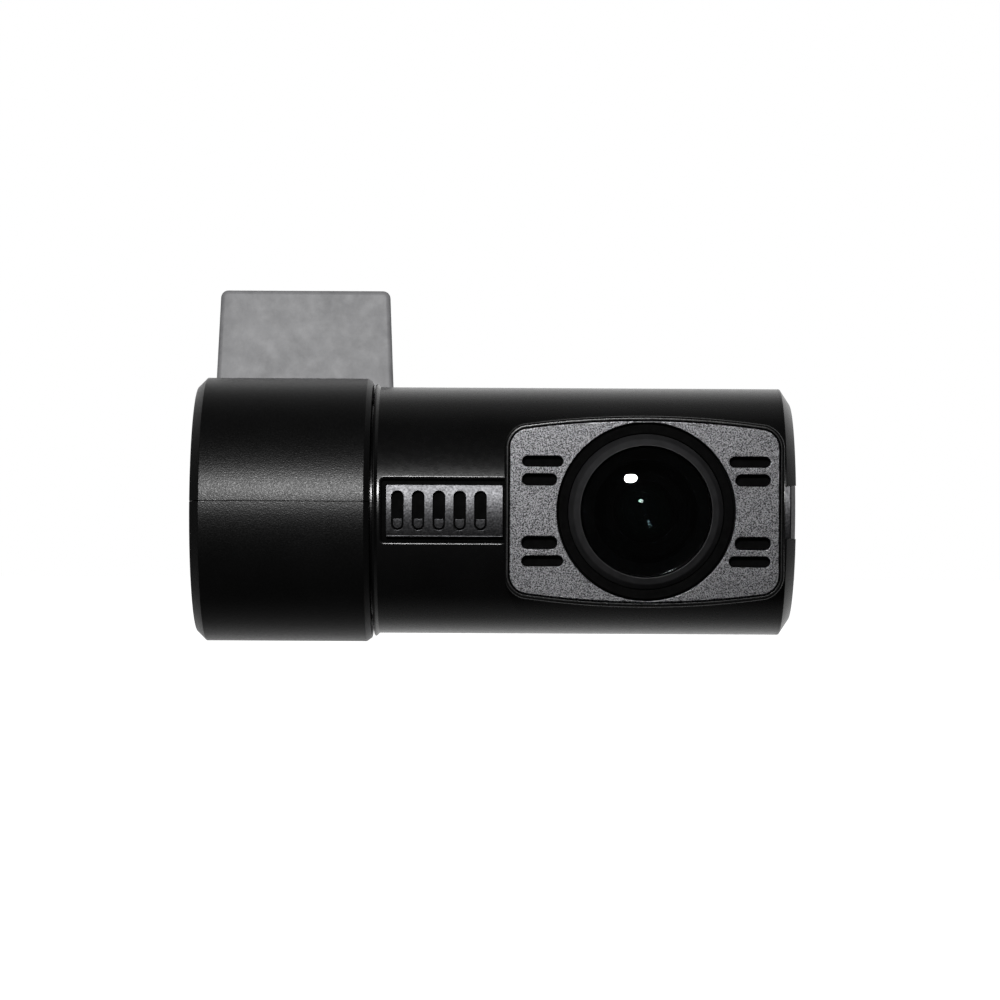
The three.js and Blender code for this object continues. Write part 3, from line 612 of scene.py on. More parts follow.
def black_plastic(name, grey, roughness, grain_mm, relief_mm, specular=0.5, gloss_mm=0.9):
    """Moulded black plastic: a fine spark-eroded grain and small changes of gloss."""
    s = Surface(name, Specular_IOR_Level=specular)
    s.colour(s.noise(6.0), [grey * 0.8] * 3, [grey * 1.2, grey * 1.2, grey * 1.25])
    s.roughness(s.noise(gloss_mm, detail=2), *roughness)
    s.bump(s.noise(grain_mm, detail=1.5, roughness=0.5), relief_mm)


def vent_lacquer():
    """Dark satin lacquer with a fine sparkle."""
    s = Surface("vent_lacquer", Metallic=1.0)
    s.colour(s.noise(0.28, detail=2), (0.04, 0.04, 0.042), (0.11, 0.11, 0.115))
    s.roughness(s.noise(0.9, detail=5), 0.37, 0.41)
    s.bump(s.noise(0.24, detail=1.5), 0.022)


def lens_ring_black():
    s = Surface("lens_ring_black", Specular_IOR_Level=0.55)
    s.colour(s.noise(1.5), (0.026, 0.026, 0.027), (0.038, 0.038, 0.040))
    s.roughness(s.noise(0.8, detail=5), 0.42, 0.50)
    s.bump(s.noise(0.18, detail=2), 0.003)


def grey_paint():
    """Metallic lacquer: fine flakes that tilt a little each way."""
    s = Surface("grey_paint", Metallic=1.0)
    s.colour(s.noise(0.16, detail=1), (0.02, 0.02, 0.021), (0.25, 0.25, 0.26), 0.35, 0.65)
    s.roughness(s.noise(1.2, detail=5), 0.30, 0.35)
    s.bump(s.noise(0.13, detail=1), 0.024)


def bracket_plastic():
    s = Surface("bracket_plastic", Specular_IOR_Level=0.45)
    # The base colour is a mid grey though the bracket is black plastic: a painted sheen that stands in for the
    # lamp's reflection, over random mottling.
    s.colour(s.noise(5.0, detail=8, roughness=0.72), (0.29, 0.29, 0.298), (0.48, 0.48, 0.492))
    s.roughness(s.noise(2.0, detail=5), 0.45, 0.56)
    s.bump(s.noise(0.3, detail=2), 0.006)


def foam_tape():
    s = Surface("foam_tape", Specular_IOR_Level=0.2)
    s.colour(s.noise(0.5, detail=5), (0.018, 0.018, 0.019), (0.05, 0.05, 0.052))
    s.roughness(s.noise(0.6), 0.85, 1.0)
    s.bump(s.cells(0.35), 0.06)
    s.bump(s.noise(2.5, detail=5), 0.08)


def glass(name, dark, light, **sockets):
    s = Surface(name, Transmission_Weight=1.0, **sockets)
    s.colour(s.noise(8.0), dark, light)
    s.roughness(s.noise(3.0, detail=6), 0.0, 0.02)


def clear_plastic():
    s = Surface("clear_plastic", Transmission_Weight=0.9, IOR=1.49)
    s.colour(s.noise(1.0), (0.85, 0.88, 0.9), (0.95, 0.97, 1.0))
    s.roughness(s.noise(0.6, detail=4), 0.12, 0.3)


def metal(name, dark, light, low, high, stretch=(1, 12, 1)):
    """Bare or plated metal with a drawn grain."""
    s = Surface(name, Metallic=1.0)
    s.colour(s.noise(1.2, detail=5), dark, light)
    s.roughness(s.noise(0.25, detail=4, stretch=stretch), low, high)
    s.bump(s.noise(0.12, detail=3, stretch=stretch), 0.002)


def moulded(name, dark, light, low, high, relief_mm=0.004):
    """Plain moulded plastic or rubber for small and hidden pieces."""
    s = Surface(name, Specular_IOR_Level=0.45)
    s.colour(s.noise(1.6, detail=4), dark, light)
    s.roughness(s.noise(0.9, detail=5), low, high)
    s.bump(s.noise(0.25, detail=3), relief_mm)


def circuit_board():
    """Green solder mask over copper tracks."""
    s = Surface("circuit_board")
    tracks = s.texture(
        "ShaderNodeTexBrick", 9,
        Color1=(0.012, 0.085, 0.035, 1), Color2=(0.016, 0.105, 0.045, 1), Mortar=(0.03, 0.17, 0.07, 1))
    s.tree.links.new(tracks.outputs["Color"], s.shader.inputs["Base Color"])
    s.roughness(s.noise(2.0, detail=4), 0.3, 0.45)
    s.bump(s.noise(0.4, detail=3), 0.006)


black_plastic("textured_black", 0.004, (0.29, 0.42), 0.18, 0.026, specular=0.37, gloss_mm=0.22)
black_plastic("satin_black", 0.004, (0.25, 0.29), 0.25, 0.008, specular=0.6)
black_plastic("gloss_black", 0.005, (0.2, 0.28), 0.3, 0.01)
black_plastic("matte_black", 0.002, (0.7, 0.85), 0.2, 0.008, specular=0.06)
vent_lacquer()
lens_ring_black()
grey_paint()
bracket_plastic()
foam_tape()
clear_plastic()
circuit_board()
# The front glass is coated to leave little reflection; the coating of the one behind it reflects green.
glass("coated_glass", (0.55, 0.60, 0.62), (0.62, 0.68, 0.72), IOR=1.5, Specular_IOR_Level=0.15)
glass("inner_glass", (0.70, 0.78, 0.76), (0.78, 0.86, 0.84), IOR=1.55, Specular_IOR_Level=0.6,
      Specular_Tint=(0.6, 1.0, 0.75, 1))
metal("plated_steel", (0.52, 0.52, 0.54), (0.66, 0.66, 0.68), 0.22, 0.38)
metal("spring_steel", (0.48, 0.48, 0.5), (0.6, 0.6, 0.62), 0.2, 0.34, (1, 1, 12))
metal("bare_aluminium", (0.66, 0.67, 0.69), (0.78, 0.79, 0.8), 0.3, 0.45)
metal("gold_contact", (0.75, 0.52, 0.2), (0.9, 0.66, 0.3), 0.2, 0.32)
moulded("black_insulator", (0.012, 0.012, 0.012), (0.02, 0.02, 0.021), 0.45, 0.6)
moulded("white_nylon", (0.66, 0.64, 0.57), (0.74, 0.72, 0.66), 0.45, 0.6)
moulded("sensor_chip", (0.02, 0.025, 0.04), (0.04, 0.05, 0.08), 0.08, 0.18, 0.0005)
moulded("chip_black", (0.018, 0.018, 0.02), (0.03, 0.03, 0.032), 0.45, 0.6)
moulded("thermal_silicone", (0.35, 0.4, 0.46), (0.43, 0.48, 0.54), 0.7, 0.85, 0.02)
moulded("capacitor_sleeve", (0.01, 0.014, 0.03), (0.02, 0.025, 0.05), 0.2, 0.35)
moulded("flexible_film", (0.42, 0.2, 0.04), (0.55, 0.28, 0.07), 0.25, 0.4)
moulded("lead_sheath", (0.012, 0.012, 0.012), (0.022, 0.022, 0.022), 0.55, 0.7, 0.01)


def dress(piece, body, slot, *nodes, material=None):
    """Gives a piece its body, its finish and the CAD nodes that it stands for."""
    piece.data.materials.clear()
    piece.data.materials.append(MATERIALS[material or slot])
    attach(piece, body)
    if nodes:
        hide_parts(*nodes)
    return piece


# ---- Bracket ----


def bracket_outline(inset):
    """A little wider at the bottom than at the top, with small round corners."""
    middle, low, high = -28.85, -11.2 + inset, 34.4 - inset
    bottom, top = 14.35 - inset, 12.47 - inset
    corner = 1.1
    return round_corners(
        [(middle - bottom, low, corner), (middle + bottom, low, corner),
         (middle + top, high, corner), (middle - top, high, corner)], 8)


def make_bracket():
    back, front = -23.45, -21.45
    rails_left, rails_right, rails_middle = -41.3, -19.2, 10
    bm = new_drawing()
    add_plate(bm, [bracket_outline(0)], back, front, facing_front, edges=0.75, back=0.3, grid=(4, 4), steps=6)
    hook = [(21.9, 8.0, 0), (18.65, 8.0, 0.4), (18.65, 3.8, 0.25), (19.75, 3.8, 0.25), (19.75, 6.3, 0.1),
            (21.9, 6.3, 0)]
    for sign in (1, -1):
        profile = round_corners([(y, rails_middle + sign * reach, r) for y, reach, r in hook], 4)
        add_plate(bm, [profile], rails_left, rails_right, along_x, edges=0.3, back=0.3, steps=3)
    stop = round_corners([(18.65, 2.0, 0.4), (21.9, 2.0), (21.9, 18.0), (18.65, 18.0, 0.4)], 4)
    add_plate(bm, [stop], rails_left, rails_left + 1.0, along_x, edges=0.2, back=0.2, steps=3)
    dress(to_object(bm, "bracket_plate", LEANING), "bracket", "bracket_plastic", "mount_plate")

    pad = plate("foam_tape_pad", LEANING, [bracket_outline(0.9)], -24.55, -23.5,
                edges=0.12, back=0.2, grid=(1.2, 1.2), steps=3)
    dress(pad, "bracket", "foam_tape", "adhesive_pad")


# ---- Collar ----


def collar_profile():
    left, right, r = COLLAR_LEFT, COLLAR_RIGHT, COLLAR_RADIUS
    return round_corners([
        (left, 15.5, 0.15), (left, r - 1.3, 0.15), (left + 1.3, r, 0.15), (right - 0.75, r, 0.25),
        (right, r - 0.55, 0.15), (right, 15.2, 0.2), (-20.6, 15.2), (-20.6, 16.7), (-41.5, 16.7),
        (-41.5, 15.5)], 6)


def collar_facing(spot):
    """Straight out from the axis on the collar's wall."""
    radial = Vector((0, spot.y, spot.z))
    return radial.normalized() if abs(radial.length - COLLAR_RADIUS) < 0.01 else None


def make_collar():
    gap = 0.17
    front_seam = 181.4
    upper = new_drawing()
    add_lathe(upper, collar_profile(), start=gap, sweep=front_seam - 2 * gap, steps=110)
    rail = round_corners([
        (15.8, 6.5), (19.95, 6.5, 0.2), (19.95, 4, 0.25), (21.25, 4, 0.25), (21.25, 16, 0.25),
        (19.95, 16, 0.25), (19.95, 13.5, 0.2), (10.6, 13.5)], 4)
    add_plate(upper, [rail], -40, -19.5, along_x, edges=0.3, back=0.3, steps=3)
    dress(to_object(upper, "collar_upper", LEANING), "collar", "textured_black", "collar_upper_shell")

    lower = new_drawing()
    add_lathe(lower, collar_profile(), start=front_seam + gap, sweep=360 - front_seam - 2 * gap, steps=110)
    shell = to_object(lower, "collar_lower", LEANING)
    bores = [circle(x, SCREW_Y, 2.0, 40) for x in SCREWS_X]
    cutters = [plate("screw_bore", LEANING, [bore], -20, -8.1, along_z, edges=0.05) for bore in bores]
    shell = carve(shell, LEANING, collar_facing, *cutters)
    dress(shell, "collar", "textured_black", "collar_lower_shell")
    for i, x in enumerate(SCREWS_X):
        boss = new_drawing()
        wall = circle(x, SCREW_Y, 2.6, 40)
        add_plate(boss, [wall, bores[i]], -11.4, -8.1, along_z, edges=0.02)
        add_plate(boss, [wall, circle(x, SCREW_Y, 1.15, 24)], -8.05, -5, along_z, edges=0.02)
        dress(to_object(boss, f"screw_boss_{i + 1}", LEANING), "collar", "textured_black")
        make_collar_screw(i, x)

    disc = new_drawing()
    front = [circle(0, 0, 15.25, 160), rectangle(-4.05, 4.05, -2.15, 2.15, 0.5)]
    flange = [circle(0, 0, 16.5, 120), rectangle(-4.2, 4.2, -2.3, 2.3, 0.5)]
    add_plate(disc, front, 41.0, 42.1, facing_left, edges=[0.35, 0.25], grid=(2, 2))
    add_plate(disc, flange, 40.05, 41.2, facing_left, edges=0.1)
    dress(to_object(disc, "collar_disc", LEANING), "collar", "textured_black", "collar_end_disc")
    make_port()


def make_collar_screw(index, x):
    """A small pan-head screw with a cross recess, head down."""
    y, arm, half = SCREW_Y, 1.05, 0.24
    cross = [(x + a, y + b) for a, b in (
        (half, -arm), (half, -half), (arm, -half), (arm, half), (half, half), (half, arm),
        (-half, arm), (-half, half), (-arm, half), (-arm, -half), (-half, -half), (-half, -arm))]

    def head_down(u, v, height):
        return Vector((u, v, -height))

    bm = new_drawing()
    add_plate(bm, [circle(x, y, 1.8, 48), cross], 8.7, 9.6, head_down, edges=[0.45, 0.05])
    add_plate(bm, [circle(x, y, 1.75, 48)], 8.15, 8.75, head_down, edges=0.02)
    add_plate(bm, [circle(x, y, 0.98, 24)], -5, 8.3, head_down, edges=0.2)
    name = f"collar_screw_{index + 1}"
    dress(to_object(bm, f"cross_screw_{index + 1}", LEANING), "collar", "plated_steel", name)


def make_port():
    """The power inlet: a folded steel shell, its tongue and five contacts."""
    outer = round_corners([
        (-3.85, 1.95, 0.4), (-3.85, -0.5, 0.5), (-3.1, -1.95, 0.4), (3.1, -1.95, 0.4), (3.85, -0.5, 0.5),
        (3.85, 1.95, 0.4)], 5)
    inner = offset(outer, 0.3)
    shell = plate("port_shell", LEANING, [outer, inner], 32.7, 41.9, facing_left, edges=0.08)
    dress(shell, "collar", "plated_steel", "usb_socket")
    tongue = new_drawing()
    add_plate(tongue, [rectangle(-2.6, 2.6, -0.1, 0.8, 0.1)], 34, 39.9, facing_left, edges=0.15)
    add_plate(tongue, [rectangle(-3.0, 3.0, -1.5, 1.5, 0.2)], 32.8, 34.5, facing_left, edges=0.1)
    dress(to_object(tongue, "port_tongue", LEANING), "collar", "black_insulator", "usb_contact_tongue")
    contacts = new_drawing()
    pitch, half = 0.8, 0.16
    for k in range(-2, 3):
        strip = rectangle(k * pitch - half, k * pitch + half, -0.22, -0.08, 0.03)
        add_plate(contacts, [strip], 34.4, 39.4, facing_left, edges=0.05)
    contacts = to_object(contacts, "port_contacts", LEANING)
    dress(contacts, "collar", "black_insulator", material="gold_contact")


# ---- Casing ----


def add_half_neck(bm, start):
    """Half of the neck inside the collar and of the rounded shoulder ring beside it."""
    profile = round_corners([
        (-25, 13.2), (-25, 15.6, 0.2), (-24.3, 15.6, 0.1), (-24.2, 14.9), (SHOULDER, 14.9),
        (SHOULDER, BODY_RADIUS + 0.42, 0.2), (SHOULDER + 0.28, BODY_RADIUS + 0.42, 0.2),
        (SHOULDER + 0.75, BODY_RADIUS - 0.04), (SHOULDER + 0.75, 13.2)], 5)
    gap = NECK_GAP_DEGREES
    add_lathe(bm, profile, start=start + gap, sweep=180 - 2 * gap, steps=96)


def front_skin_hole():
    """Where the casing's wall opens for the boss and, left of it, for the vent recess."""
    boss = unrolled(boss_outline(0.3))
    left = min(x for x, _ in boss)
    rest = [p for p in boss if p[0] > left + 1e-6]
    lower_left = [i for i, (x, s) in enumerate(rest) if x < left + 2 and s < 0]
    first = max(lower_left, key=lambda i: -abs(rest[i][1]))
    ordered = rest[first:] + rest[:first]
    half, corner = VENT["half"] + 0.08, 0.4
    recess = round_corners([
        (left, -half), (VENT["left"], -half, corner), (VENT["left"], half, corner), (left, half)], 5)
    return ordered, recess


def front_skin():
    """The unrolled front wall, notched at its right end for the end strip that runs in beside the boss."""
    notch, half, turn = BOSS["right"] - 0.2, VENT["half"], SKIN_HALF_TURN
    return [(SKIN_LEFT, -turn), (BODY_END, -turn), (BODY_END, -half), (notch, -half),
            (notch, half), (BODY_END, half), (BODY_END, turn), (SKIN_LEFT, turn)]


def vent_slot(index):
    x = SLOTS["first"] + index * SLOTS["pitch"]
    w, h = SLOTS["width"] / 2, SLOTS["half"]
    return rectangle(x - w, x + w, -h, h, w * 0.97, 8)


def make_front_casing():
    hole, recess = front_skin_hole()
    # The boss runs anticlockwise from its lower left corner; the recess then closes the loop on the left.
    loops = [front_skin(), hole + recess[::-1]]
    bm = new_drawing()
    add_plate(bm, loops, WALL_INNER, BODY_RADIUS, wrapped_front, edges=[0.02, 0.38], grid=SKIN_GRID, steps=5)
    add_half_neck(bm, 90)
    dress(to_object(bm, "casing_front", LEVEL), "camera", "satin_black", "front_shell")

    loops = [boss_outline(0), boss_outline(RIM)]
    boss = plate("casing_boss_rim", LEVEL, loops, 10.0, BOSS["face"], edges=[0.38, 0.06], steps=6)
    dress(boss, "camera", "satin_black")

    loops = [boss_outline(RIM - 0.1), circle(LENS_X, 0, 12.02, 120)]
    dress(plate("casing_boss_floor", LEVEL, loops, 14.8, 16.1, edges=0.02), "camera", "matte_black")

    bed = new_drawing()
    deep = 15.6
    half = VENT["half"] + 0.15
    vent = rectangle(VENT["left"] - 0.15, BOSS["left"] + 0.3, -half, half, 0)
    beside_boss = rectangle(BOSS["right"] - 0.25, BODY_END, -half, half, 0)
    for loop, top in ((vent, VENT["floor"]), (beside_boss, 16.05)):
        add_plate(bed, [loop], deep, top, wrapped_front, edges=0.02, grid=(2, 0.8))
    dress(to_object(bed, "vent_bed", LEVEL), "camera", "matte_black")
    make_vent_scoops()


def make_vent_scoops():
    """In the lower end of each slot the bed sweeps up to the panel like the bowl of a spoon."""
    foot, top, lift = -2.54, -1.2, 0.42
    half = SLOTS["width"] / 2 - 0.14

    def spoon(x, s, height):
        rise = max(0.0, min(1.0, (top - s) / (top - foot)))
        return wrapped_front(x, s, height + lift * rise ** 1.2)

    bm = new_drawing()
    for i in range(SLOTS["count"]):
        x = SLOTS["first"] + i * SLOTS["pitch"]
        outline = round_corners([
            (x - half, foot, half * 0.97), (x + half, foot, half * 0.97), (x + half, top, 0.1),
            (x - half, top, 0.1)], 8)
        low, high = VENT["floor"] - 0.6, VENT["floor"] + 0.02
        add_plate(bm, [outline], low, high, spoon, edges=0.08, grid=(0.2, 0.12))
    dress(to_object(bm, "vent_scoops", LEVEL, sharp=55), "camera", "satin_black", material="vent_lacquer")


def make_rear_casing():
    skin = rectangle(SKIN_LEFT, BODY_END, -SKIN_HALF_TURN, SKIN_HALF_TURN, 0)
    w, h = 2.85, 4.85
    holes = [unrolled(rectangle(BUTTON_X - w, BUTTON_X + w, -h, h, w * 0.96, 10))]
    holes += [unrolled(circle(LIGHTS_X, z, 0.98, 28)) for z in LIGHTS_Z]
    holes += [unrolled(circle(LIGHTS_X, 0.5, 0.5, 24)), unrolled(circle(LIGHTS_X, -6, 0.6, 24))]
    # The card slot's long sides are planes at two depths behind the axis.
    low, high = (BODY_RADIUS * math.acos(y / BODY_RADIUS) for y in (8.25, 9.75))
    holes.append(rectangle(-3.5, 8.5, -low, -high, 0.35))
    bm = new_drawing()
    edges = [0.05, 0.25, 0.1, 0.1, 0.1, 0.1, 0.2]
    add_plate(bm, [skin] + holes, WALL_INNER, BODY_RADIUS, wrapped_back, edges=edges, grid=SKIN_GRID)
    add_half_neck(bm, -90)
    dress(to_object(bm, "casing_rear", LEVEL), "camera", "satin_black", "rear_shell")


CAP_START = BODY_END + 0.01
CAP_FACE = [(CAP_START, BODY_RADIUS), (39.15, BODY_RADIUS), (40.54, 15.2), (CAP_END, 8.0), (CAP_END, 0.01)]
TRIM_END = CAP_END - 0.1
TRIM_FACE = [(BOSS["right"] + 0.06, 16.85), (39.72, 16.85), (40.44, 15.1), (TRIM_END, 8.0), (TRIM_END, 0.0)]


def rounded_path(path, radii, steps=6):
    """An open path with round corners between its ends."""
    start, *bends, end = path
    corners = [start] + [(*bend, radius) for bend, radius in zip(bends, radii)] + [end]
    return round_corners(corners, steps)


def cap_facing(spot):
    """The direction of the cap's turned surface at a point on it, or None off that surface."""
    face = rounded_path(CAP_FACE, CAP_ROUNDS)
    r = math.hypot(spot.y, spot.z)
    here = Vector((spot.x, r))
    total = Vector((0, 0))
    for a, b in zip(face, face[1:]):
        a, b = Vector(a), Vector(b)
        u = max(0.0, min(1.0, (here - a).dot(b - a) / (b - a).length_squared))
        if (here - a.lerp(b, u)).length < 0.003:
            total += (b - a).normalized()
    if total.length < 0.1 or r < 0.1:
        return None
    along = total.normalized()
    return Vector((-along.y, along.x * spot.y / r, along.x * spot.z / r))


def cap_band(path, low, high, half, back, edges):
    """A band that follows a turned surface from beside the boss, over the edge, and across the end."""
    path = [Vector(p) for p in path]
    lengths = [0.0]
    for a, b in zip(path, path[1:]):
        lengths.append(lengths[-1] + (b - a).length)

    def mapping(t, z, height):
        i = max(k for k in range(len(path) - 1) if k == 0 or lengths[k] <= t)
        u = (t - lengths[i]) / (lengths[i + 1] - lengths[i])
        along = (path[i + 1] - path[i]).normalized()
        x, r = path[i].lerp(path[i + 1], u)
        y = -math.sqrt(max(r * r - z * z, 0.0))
        return Vector((x, y, z)) + Vector((-along.y, along.x * y / r, along.x * z / r)) * height

    end = next(length for length, p in zip(lengths, path) if p.y < back)
    band = rectangle(0.0, end, -half, half, 0.0)
    return plate("cap_trim", LEVEL, [band], low, high, mapping, edges=edges, grid=(0.12, 0.6))


def make_cap():
    face = rounded_path(CAP_FACE, CAP_ROUNDS)
    inside = CAP_END - 1.6
    inside_wall = [(inside, 0.01), (inside, 14.2), (36, 14.2), (36, 15.6), (CAP_START, 15.6)]
    cap = lathe("cap_dome", LEVEL, face + inside_wall, steps=200)
    bed, deep = -16.3, CAP_END - 0.62
    section = [
        (BODY_END - 1, -20), (BODY_END - 1, bed), (39.3, bed), (deep, -14.9), (deep, -8.5), (43, -8.5),
        (43, -20)]
    half = PANEL["half"] + 0.02
    cutter = plate("cap_cutter", LEVEL, [section], -half, half, along_z, edges=0.01)
    dress(carve(cap, LEVEL, cap_facing, cutter), "camera", "satin_black", "end_cap")
    trim = cap_band(rounded_path(TRIM_FACE, TRIM_ROUNDS), -0.5, 0.0, PANEL["half"], 9.6, 0.05)
    dress(trim, "camera", "gloss_black", "end_trim", material="vent_lacquer")


def make_vent_panel():
    left, right, half = PANEL["left"], PANEL["right"], PANEL["half"]
    top = PANEL["face"] - 0.06
    loops = [rectangle(left, right, -half, half, 0.3)]
    loops += [vent_slot(i) for i in range(SLOTS["count"])]
    bm = new_drawing()
    add_plate(bm, loops, VENT["floor"] + 0.05, top, wrapped_front, edges=0.1, grid=(0.9, 0.5))
    # A fine bead runs along the strip's lower edge.
    bead = circle(-math.cos(half / BODY_RADIUS) * top, -half + 0.13, 0.14, 16)
    add_plate(bm, [bead], left + 0.1, right, along_x, edges=0.03)
    strip = to_object(bm, "vent_strip", LEVEL)
    dress(strip, "camera", "satin_black", "vent_panel", material="vent_lacquer")


def bezel_slot(side, inner, outer, z, width):
    x0, x1 = sorted((LENS_X + side * inner, LENS_X + side * outer))
    return rectangle(x0, x1, z - width / 2, z + width / 2, width * 0.49, 8)


def make_bezel():
    loops = [boss_outline(BEZEL_INSET), circle(LENS_X, 0, 12.18, 160)]
    for side in (-1, 1):
        for level in (-1, 1):
            loops.append(bezel_slot(side, 11.35, 16.9, level * 6.8, 1.43))
            loops.append(bezel_slot(side, 12.2, 16.9, level * 4.3, 1.6))
    edges = [0.22, 0.1] + [0.12, 0.2, 0.12, 0.12] * 2
    bezel = plate("bezel_plate", LEVEL, loops, 16.2, -BEZEL_FACE, edges=edges, grid=(2, 2), steps=5)
    dress(bezel, "camera", "grey_paint", "bezel")


# ---- Lens ----


def sphere_face(apex, edge, radius, steps=24):
    """Points from the axis to a radius on a sphere through an apex and an edge depth."""
    sag = edge - apex
    ball = (radius * radius + sag * sag) / (2 * abs(sag))
    sign = 1 if sag > 0 else -1
    points = []
    for i in range(steps + 1):
        r = radius * i / steps
        points.append((apex + sign * (ball - math.sqrt(ball * ball - r * r)), r))
    return points


def make_lens():
    surround = round_corners([
        (-16.75, 10.7, 0.06), (-16.75, 11.95, 0.12), (-13, 11.95), (-13, 9.05), (-14.3, 9.05),
        (-14.3, 10.7)], 4)
    dress(lens_lathe("lens_well_ring", surround), "camera", "matte_black", "lens_surround")

    ring = round_corners([
        (-16.35, 10.6, 0.2), (-14.4, 10.6), (-14.4, 9.0), (-18.4, 9.0, 0.03), (-18.42, 9.06, 0.05),
        (-17.72, 9.92, 0.9)], 8)
    dress(lens_lathe("lens_bevel_ring", ring), "camera", "lens_ring_black", "lens_retaining_ring")

    front = sphere_face(GLASS_APEX, GLASS_APEX + 1.38, GLASS_RADIUS - 0.12)
    front += [(-17.8, GLASS_RADIUS), (-15.6, GLASS_RADIUS)]
    front += sphere_face(-17.9, -15.6, 6.8)[::-1]
    dress(lens_lathe("glass_front", front), "camera", "coated_glass", "front_element")
    ink_inner, ink_outer = GLASS_RADIUS - 0.3, GLASS_RADIUS - 0.05
    ink = [(-17.6, ink_inner), (-15.7, ink_inner), (-15.7, ink_outer), (-17.6, ink_outer)]
    dress(lens_lathe("glass_edge_ink", ink), "camera", "matte_black")
    second = lens_lathe("glass_second", sphere_face(-13.0, -12.2, 4.8) + sphere_face(-10.9, -10.1, 4.8)[::-1])
    dress(second, "camera", "coated_glass", "second_element", material="inner_glass")

    barrel = [
        (-15.5, 6.9), (-15.5, 8.9), (-11, 8.9), (-11, 6.6), (1.5, 6.6), (1.5, 4.9), (-3.9, 4.9), (-3.9, 3.4),
        (-10, 3.4), (-10, 4.9), (-12.6, 4.9), (-12.9, 5.3)]
    for k in range(5):
        y, r = -13.35 - 0.42 * k, 5.6 + 0.26 * k
        barrel += [(y, r), (y - 0.12, r + 0.16), (y - 0.3, r + 0.12)]
    dress(lens_lathe("barrel_grooved", barrel), "camera", "matte_black", "lens_barrel")


# ---- Controls and card ----


def make_controls():
    w, h = 2.6, 4.6
    button = new_drawing()
    pill = unrolled(rectangle(BUTTON_X - w, BUTTON_X + w, -h, h, w * 0.96, 12))
    flange = rectangle(BUTTON_X - 3.4, BUTTON_X + 3.4, -5.4, 5.4, 3.2, 10)
    add_plate(button, [pill], 13.5, 17.88, wrapped_back, edges=0.45, grid=(0.8, 0.8), steps=6)
    add_plate(button, [flange], 12.8, 13.8, facing_back, edges=0.1)
    add_plate(button, [circle(BUTTON_X, 0, 1.4, 32)], 11.6, 13.2, facing_back, edges=0.1, back=0.15)
    dress(to_object(button, "button_cap", LEVEL), "function_button", "gloss_black", "function_button")

    for name, z in zip(("power", "wifi"), LIGHTS_Z):
        top = math.sqrt(BODY_RADIUS ** 2 - z ** 2) - 0.1
        loop = circle(LIGHTS_X, z, 0.84, 32)
        pipe = plate(f"{name}_pipe", LEVEL, [loop], 8.9, top, facing_back, edges=0.3, steps=5)
        dress(pipe, "camera", "clear_plastic", f"{name}_light_pipe")

    low, high = box_mm("memory_card")
    notch = high.x - 1.3
    outline = round_corners([
        (low.x, low.z, 0.5), (high.x, low.z, 0.5), (high.x, low.z + 8.6, 0.1), (notch, low.z + 9.6, 0.2),
        (notch, high.z, 0.4), (low.x, high.z, 0.4)], 5)
    card = plate("card_blade", LEVEL, [outline], low.y, high.y, facing_back, edges=0.06, back=0.06)
    dress(card, "memory_card", "chip_black", "memory_card")


# ---- Build ----

make_bracket()
make_collar()
make_front_casing()
make_rear_casing()
make_cap()
make_vent_panel()
make_bezel()
make_lens()
make_controls()

slots = {entry["node"]: entry["material_slot"] for entry in frame["record"]["subparts"]}
for node, kept in frame["nodes"].items():
    if kept.hide_render:
        continue
    kept.data.materials.clear()
    kept.data.materials.append(MATERIALS[slots[node]])

# ---- Stage ----


VIEW_DISTANCE = 0.522


def make_floor():
    """A pale floor below the object, seen by the camera only."""
    side, drop = 6.0, 0.12
    mesh = bpy.data.meshes.new("floor")
    corners = [(-side, -side, 0), (side, -side, 0), (side, side, 0), (-side, side, 0)]
    mesh.from_pydata(corners, [], [(0, 1, 2, 3)])
    floor = bpy.data.objects.new("floor", mesh)
    floor.location = (0, 0, cad_bounds[0][2] - drop)
    bpy.context.scene.collection.objects.link(floor)
    paint = bpy.data.materials.new("floor_paint")
    paint.use_nodes = True
    set_sockets(paint.node_tree.nodes["Principled BSDF"], {
        "Base Color": (0.85, 0.85, 0.85, 1),
        "Roughness": 1.0,
        "Specular IOR Level": 0.0,
        "Emission Color": (1, 1, 1, 1),
        "Emission Strength": 1.0,
    })
    mesh.materials.append(paint)
    floor.visible_diffuse = False
    floor.visible_glossy = False
    floor.visible_transmission = False


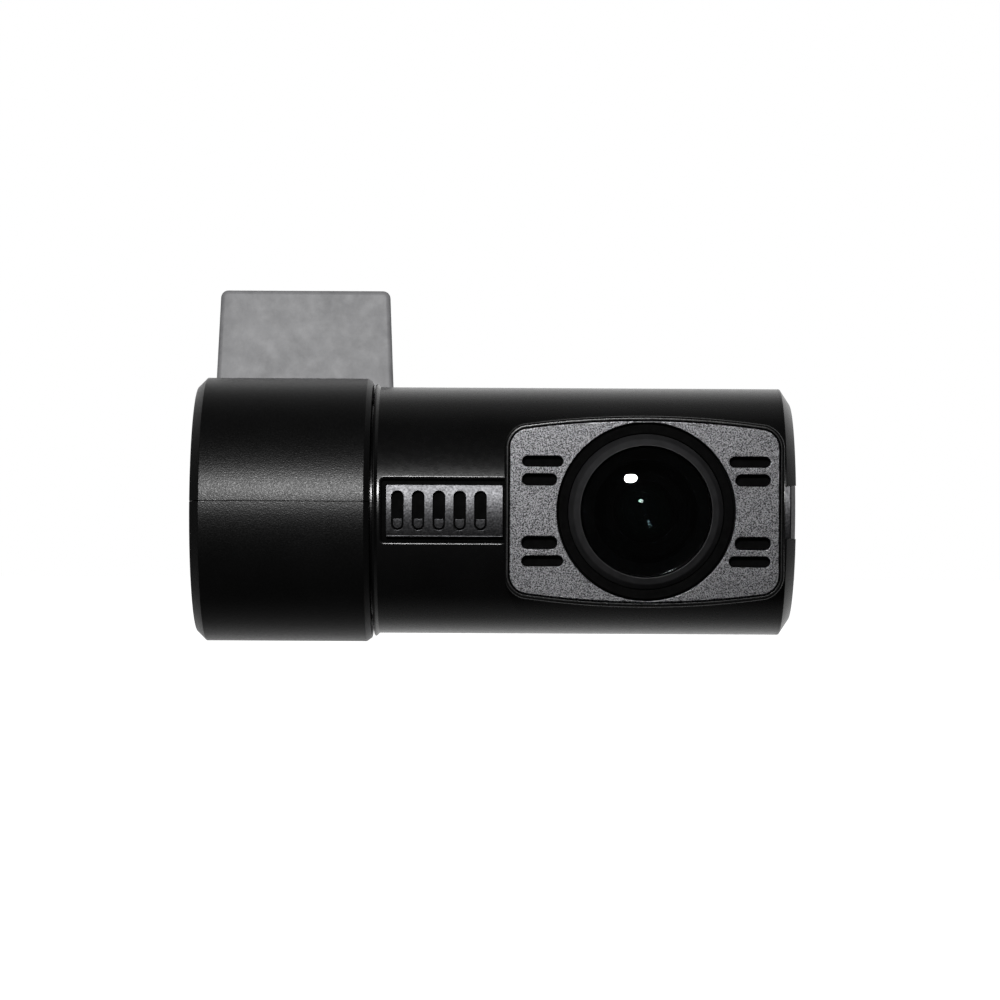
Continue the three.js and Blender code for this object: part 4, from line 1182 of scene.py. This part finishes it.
def make_surround():
    """Lit for the object from behind and above; the camera itself always sees a plain pale surround."""
    world = bpy.data.worlds.new("surround")
    bpy.context.scene.world = world
    world.use_nodes = True
    tree = world.node_tree
    tree.nodes.clear()
    direction = tree.nodes.new("ShaderNodeTexCoord")
    split = tree.nodes.new("ShaderNodeSeparateXYZ")
    tree.links.new(direction.outputs["Generated"], split.inputs["Vector"])

    def graded(axis, start, end, low, high):
        """A strength that runs between two values as a ray's direction turns along an axis."""
        node = tree.nodes.new("ShaderNodeMapRange")
        set_sockets(node, {"From Min": start, "From Max": end, "To Min": low, "To Max": high})
        tree.links.new(split.outputs[axis], node.inputs["Value"])
        return node.outputs["Result"]

    def combined(operation, first, second):
        node = tree.nodes.new("ShaderNodeMath")
        node.operation = operation
        tree.links.new(first, node.inputs[0])
        tree.links.new(second, node.inputs[1])
        return node.outputs["Value"]

    fade = graded("Y", 0.0, 1.0, 0.02, 0.5)
    ground = graded("Z", -0.3, 0.3, 0.85, 1.0)
    glow = graded("Y", 0.55, 1.0, 0.0, 0.8)
    lit = tree.nodes.new("ShaderNodeBackground")
    shade = combined("MULTIPLY", combined("ADD", fade, glow), ground)
    tree.links.new(shade, lit.inputs["Strength"])
    seen = tree.nodes.new("ShaderNodeBackground")
    set_sockets(seen, {"Color": (1, 1, 1, 1), "Strength": 1.0})
    path = tree.nodes.new("ShaderNodeLightPath")
    mix = tree.nodes.new("ShaderNodeMixShader")
    output = tree.nodes.new("ShaderNodeOutputWorld")
    tree.links.new(path.outputs["Is Camera Ray"], mix.inputs["Fac"])
    tree.links.new(lit.outputs["Background"], mix.inputs[1])
    tree.links.new(seen.outputs["Background"], mix.inputs[2])
    tree.links.new(mix.outputs["Shader"], output.inputs["Surface"])


def make_front_light():
    """One soft oval lamp in front of and above the object."""
    lamp = bpy.data.lights.new("front_softbox", "AREA")
    lamp.shape = "ELLIPSE"
    lamp.size, lamp.size_y = 0.066, 0.044
    lamp.energy = 1.6
    light = bpy.data.objects.new("front_softbox", lamp)
    place = ORIGIN + Vector((-0.039, -VIEW_DISTANCE * 0.955, 0.165))
    target = ORIGIN + Vector((0, 0, 0.004))
    light.location = place
    light.rotation_euler = (target - place).to_track_quat("-Z", "Y").to_euler()
    bpy.context.scene.collection.objects.link(light)


def make_camera():
    """Level, looking along +Y, at the distance that gives the photograph's perspective."""
    lens = bpy.data.cameras.new("view_camera")
    lens.lens = 133.3
    lens.sensor_width = 36
    lens.clip_start, lens.clip_end = 0.05, 20
    camera = bpy.data.objects.new("view_camera", lens)
    camera.location = ORIGIN + Vector((0, -VIEW_DISTANCE, 0.00149))
    camera.rotation_euler = (math.radians(90), math.radians(-0.3), 0)
    bpy.context.scene.collection.objects.link(camera)
    bpy.context.scene.camera = camera


bpy.context.scene.view_settings.view_transform = "Standard"
make_floor()
make_surround()
make_front_light()
make_camera()
